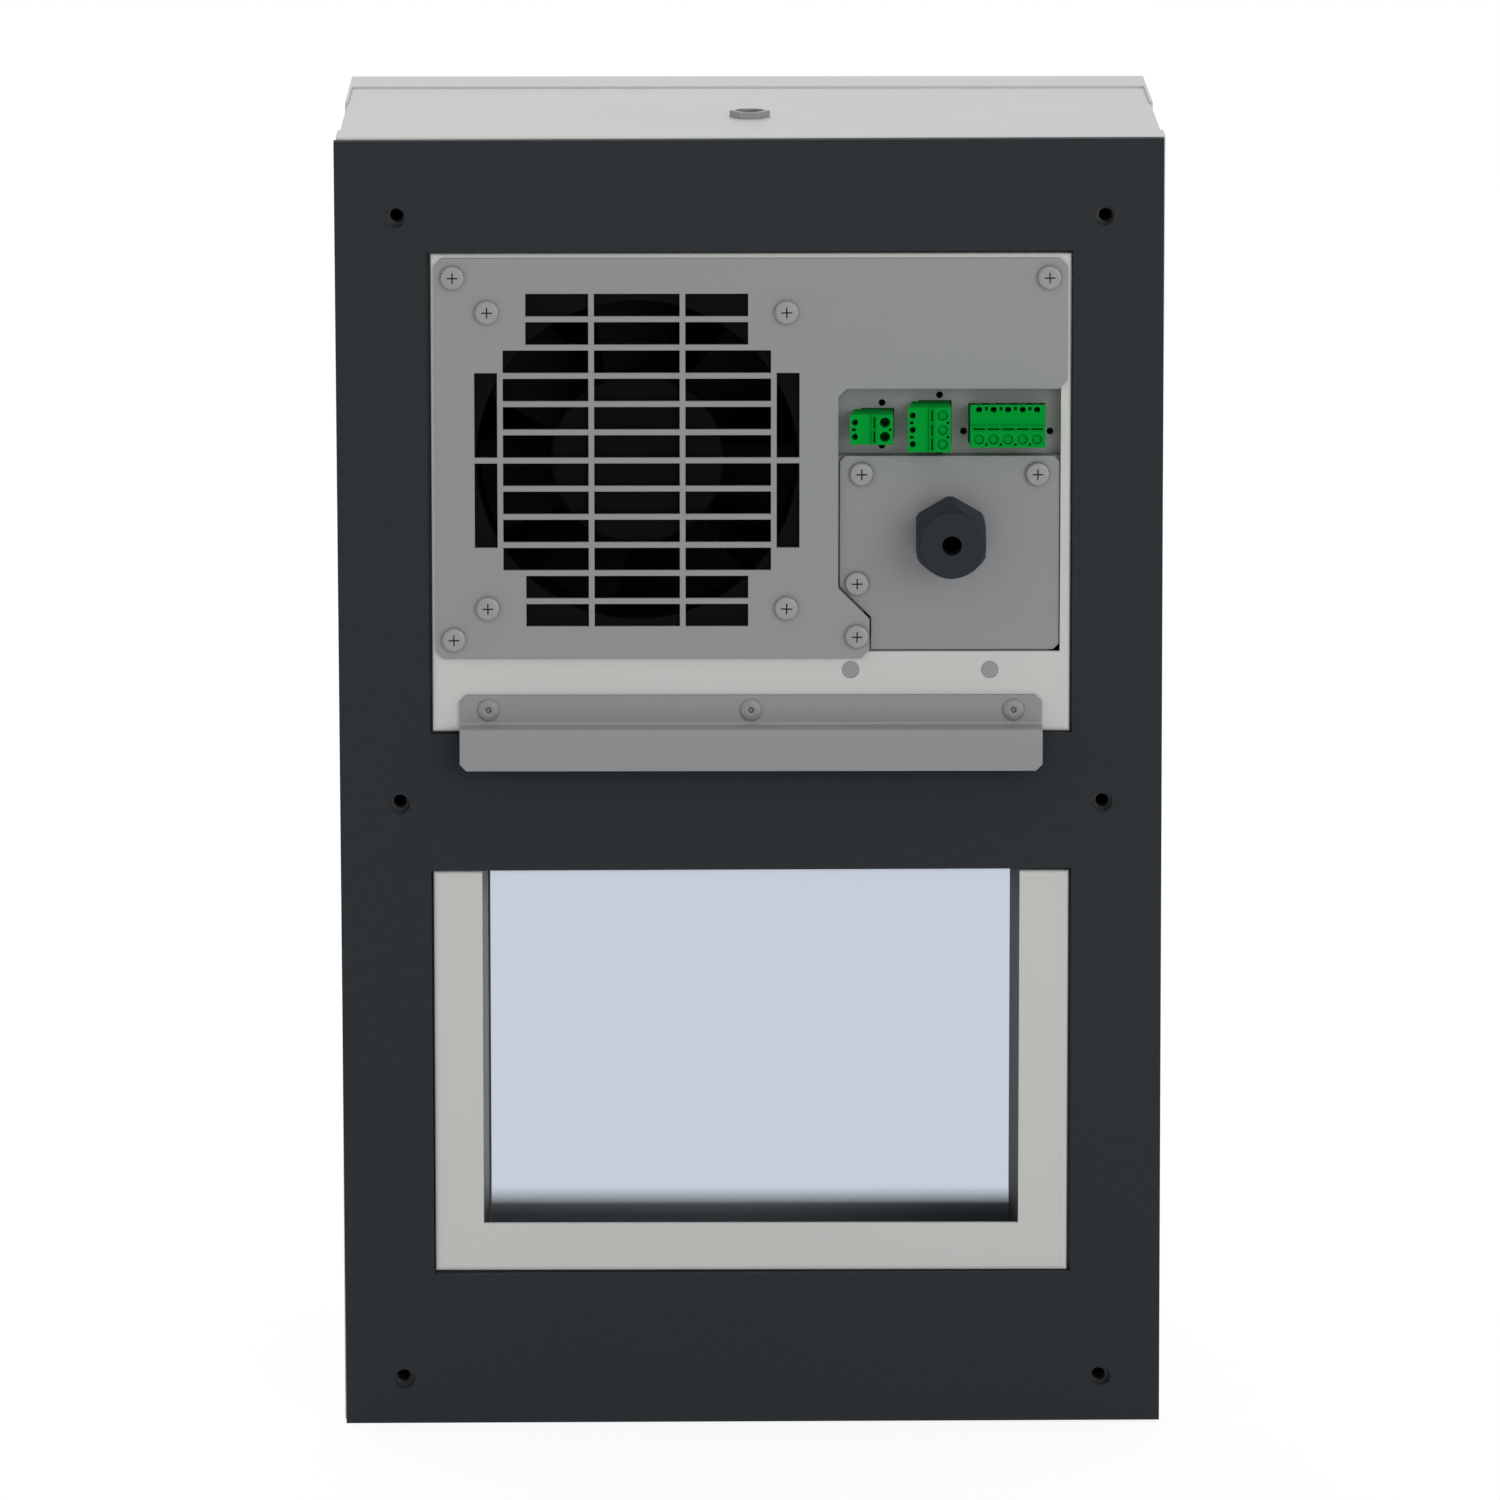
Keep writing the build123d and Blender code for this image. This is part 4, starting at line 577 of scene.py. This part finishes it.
# Cable gland: body, dome nut and lock nut, moulded in dark blue-grey polyamide and screwed together through
# the plate, and a black rubber seal that the dome nut squeezes. The plastic has a fine spark-eroded texture.
def moulded(name, colour, rough=0.5, grain=0.0005, depth=0.00001, level=0.35, edge=0.00025, recess=0.0):
    """Where recess is given, grooves and holes of about that depth are darkened, as painted shade."""
    plastic = Finish(name, {"Specular IOR Level": level})
    flow = plastic.noise(0.02, 3.0)
    texture = plastic.noise(grain)
    shade = plastic.blend(flow, tint(colour, 0.95), tint(colour, 1.05))
    if recess:
        # Painted shade: an occlusion node darkens grooves and holes.
        settings = {"samples": 8, "only_local": True}
        openness = plastic.node("AmbientOcclusion", settings, {"Distance": recess}, "AO")
        shade = plastic.blend(plastic.between(openness, 0.35, 0.75), tint(colour, 0.12), shade)
    return plastic.finish(shade, rough + (flow - 0.5) * 0.16, texture, depth, edge=edge)


polyamide = moulded("gland_polyamide", (0.0205, 0.0254, 0.0335), rough=0.58, level=0.15)
dress(polyamide, "gland_body", "gland_nut", "gland_lock_nut")
rubber = moulded("seal_rubber", (0.004, 0.004, 0.005), rough=0.8, level=0.1)
dress(rubber, "gland_seal")


# Connectors: black pin headers on the board behind the panel, and green plug-in connectors with 2, 3 and
# 5 poles. Both are moulded plastic, and the plugs have deep screw and wire holes.
# The plugs' grooves and holes get painted shade through recess.
plug_green = moulded("plug_green", (0.0004, 0.332, 0.036), rough=0.65, grain=0.0004, depth=0.000004,
                     level=0.03, edge=0.00010, recess=0.0016)
dress(plug_green, "plug_2_pole", "plug_3_pole", "plug_5_pole")
black_plastic = moulded("black_plastic", (0.0035, 0.0036, 0.004), rough=0.6, level=0.10)
dress(black_plastic, "header_2_pole", "header_3_pole", "header_5_pole")


# Fans: square frames with round ducts and struts, and seven-bladed rotors on a hub that holds the motor.
# Moulded in black glass-filled plastic, matt all over.
fan_black = moulded("fan_black", (0.0020, 0.0020, 0.0022), rough=0.6, level=0.05)
dress(fan_black, "cold_fan_frame", "cold_fan_rotor", "warm_fan_frame", "warm_fan_rotor")


# Discharge duct: a liner of foil-faced sheet, folded round at the bottom and slid in behind the pan, in foam.
# The back is bare foil that bows a little and mirrors the room, down to a dark foot where it is folded round:
# painted shade, fading in over the foot's upper edge. The sides and the floor are dull and dark. A narrow
# strip in the left corner is dull and paler, painted light against the corner's shade. The foam is near
# black, painted shade.
left_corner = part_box("duct_liner")[0].x + 0.0020
painted_shade_low, painted_shade_high = -0.1733, -0.1619
bow = math.radians(11.0)
side_bow = -0.30
liner = Finish("liner_foil", {"Specular IOR Level": 0.2})
waves = liner.noise(0.06)
grit = liner.noise(0.0012)
outward = liner.node("NewGeometry", output="Normal")
back = liner.axis("Y", outward) < -0.05
mirror = back * (liner.axis("X") > left_corner)
height = liner.axis("Z") + (grit - 0.5) * 0.0006
# Painted shade: below the foot's edge the back is not a mirror but dark, fading in upwards.
bare = mirror * liner.between(height, painted_shade_low, painted_shade_high, {"interpolation_type": "SMOOTHSTEP"})
foil = liner.blend(waves, (0.558, 0.618, 0.692), (0.572, 0.632, 0.706))
# Dull colours: the sides and floor, and a paler left corner strip, painted light against the corner's shade.
shade = liner.blend(back, (0.052, 0.045, 0.040), (0.125, 0.113, 0.106))
# Painted shade: the dark colour of the foot, under the foil.
shade = liner.blend(mirror, shade, (0.083, 0.101, 0.112))
shade = liner.blend(bare, shade, foil)
bowed = {"X": liner.axis("X") * side_bow, "Y": -math.cos(bow), "Z": math.sin(bow)}
bowed = liner.node("CombineXYZ", inputs=bowed)
normal = liner.node("Mix", {"data_type": "VECTOR"}, {0: mirror, 4: outward, 5: bowed}, 1)
rough = 0.55 - mirror * 0.50
dress(liner.finish(shade, rough, waves + grit * 0.02, 0.00002, metal=bare, normal=normal), "duct_liner")
# Near black: painted shade for the space behind the evaporator.
dress(moulded("bead_foam", (0.010, 0.010, 0.011), rough=0.85, grain=0.003, depth=0.0001, level=0.05),
      "insulation")


# Partition: the folded sheet that parts the cold side from the warm side, from wall to wall of the casing.
# It and the evaporator's two end plates are matt near black, painted shade that keeps the inside behind the
# fan dark.
partition_painted_shade = powder_coat("partition_painted_shade", (0.006, 0.006, 0.007), rough=0.7)
dress(partition_painted_shade, "partition_wall", "evaporator_end_plates")


# Evaporator: a copper serpentine through a pack of thin aluminium fins between the two end plates.
# The fins are pressed from foil, stand two millimetres apart, square to the tubes, and are near black,
# painted shade that keeps the inside behind the fan dark.
# Under it lie a zinc-plated tray, a rubber hose and a black spigot for the water.
coil_place = (0.0, 0.053, 0.014)
coil_slant = math.radians(22.0)
fin_half = (0.00008, 0.0475, 0.015)
fin_count = 88
fin_pitch = 0.002
pack = Shape()
for number in range(fin_count):
    x = (number - (fin_count - 1) / 2) * fin_pitch
    pack.block((x - fin_half[0], -fin_half[1], -fin_half[2]), (x + fin_half[0], fin_half[1], fin_half[2]))
slanted = Shape()
slanted.join(pack, Matrix.Translation(coil_place) @ Matrix.Rotation(-coil_slant, 4, "X"))
fin_painted_shade = zinc_sheet("fin_painted_shade_aluminium", (0.012, 0.013, 0.014), along=None, rough=0.6, metal=0.1)
fins = slanted.made("evaporator_fin_pack", [fin_painted_shade], "unit", "evaporator_fins")

copper = plated_steel("copper", (0.62, 0.26, 0.14), rough=0.35, metal=0.95)
dress(copper, "evaporator_tubes")
dark_zinc = zinc_sheet("inner_zinc_sheet", (0.20, 0.205, 0.21), along=(0.04, 1.0, 1.0))
dress(dark_zinc, "condensate_tray")
dress(rubber, "drain_hose")
dress(black_plastic, "drain_spigot")


# Condenser: flat tubes between two headers, with folded fins brazed in between, behind the intake louvres.
# It is of bare aluminium, and the fins are one thin strip in each gap, folded up and down. A shroud of
# zinc-plated sheet stands round it.
core_low, core_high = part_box("condenser_core")
tube_thick = 0.002
gap_count = 8
cell = (core_high.z - core_low.z - tube_thick) / gap_count
fold_pitch = 0.0025
fold_count = int((core_high.x - core_low.x) / fold_pitch)
strip_thick = 0.00014
strip_inset = 0.0002
core = Shape()
for number in range(gap_count + 1):
    low = core_low.z + number * cell
    core.block((core_low.x, core_low.y, low), (core_high.x, core_high.y, low + tube_thick))
for number in range(gap_count):
    low = core_low.z + number * cell + tube_thick
    high = low + cell - tube_thick
    for side in (0.0, strip_thick):
        points = []
        for step in range(fold_count + 1):
            x = core_low.x + step * fold_pitch + side
            z = low if step % 2 == 0 else high
            points += [(x, core_low.y + strip_inset, z), (x, core_high.y - strip_inset, z)]
        core.add(points, [[2 * k, 2 * k + 1, 2 * k + 3, 2 * k + 2] for k in range(fold_count)])
bare_aluminium = zinc_sheet("bare_aluminium", (0.55, 0.56, 0.57), along=None, rough=0.4, metal=0.9)
core.made("condenser_fin_pack", [bare_aluminium], "unit", "condenser_core")
dress(bare_aluminium, "condenser_headers")
dress(dark_zinc, "condenser_shroud")


# Compressor: a deep-drawn steel shell welded to its base plate, in black enamel, on four rubber feet with
# bolts through them. A black plastic cover is clipped over its terminals.
enamel = powder_coat("compressor_enamel", (0.012, 0.012, 0.013), rough=0.3)
dress(enamel, "compressor_shell", "compressor_base_plate")
dress(rubber, "compressor_feet")
dress(bright, "compressor_bolts")
dress(black_plastic, "compressor_terminal_cover")


# Refrigerant lines: drawn copper tube with a little tarnish, bent cold and brazed to the compressor, the
# condenser, the filter drier and the evaporator. The drier is spun from copper too.
dress(copper, "discharge_pipe", "liquid_pipe", "capillary_tube", "suction_pipe", "filter_drier")


# Terminal box: a folded zinc-plated box behind the connector panel and the gland plate. It holds two boards
# of green laminate, one on plated stand-offs with black relays and a wound transformer, and one with the
# pin headers. The motor's aluminium capacitor lies behind the second one.
dress(dark_zinc, "terminal_box")
dress(moulded("board_lacquer", (0.01, 0.12, 0.05), rough=0.25), "control_board", "connector_board")
dress(bright, "board_standoffs")
dress(black_plastic, "board_relays")
dress(moulded("transformer_varnish", (0.09, 0.09, 0.10), rough=0.4), "board_transformer")
dress(bare_aluminium, "run_capacitor")


# Cover screws: four low cross-head screws, two in each side, that hold the front cover to the wrap.
# Steel, plated bright, with their heads on the cover's side flanges.
cover_head = 0.0008
group = Shape()
for middle, half in solids_of("cover_screws"):
    side = 1.0 if middle.x > 0 else -1.0
    screw = screw_shape(half.z, cover_head, shank=0.0018, length=2 * half.x - cover_head, reach=0.0017)
    place = Vector((middle.x + side * (half.x - cover_head), middle.y, middle.z))
    group.join(screw, Matrix.Translation(place) @ Matrix.Rotation(side * math.pi / 2, 4, "Z"))
cover_screws = group.made("cover_screws_cross_head", [bright, painted_shade_steel], "unit", "cover_screws")
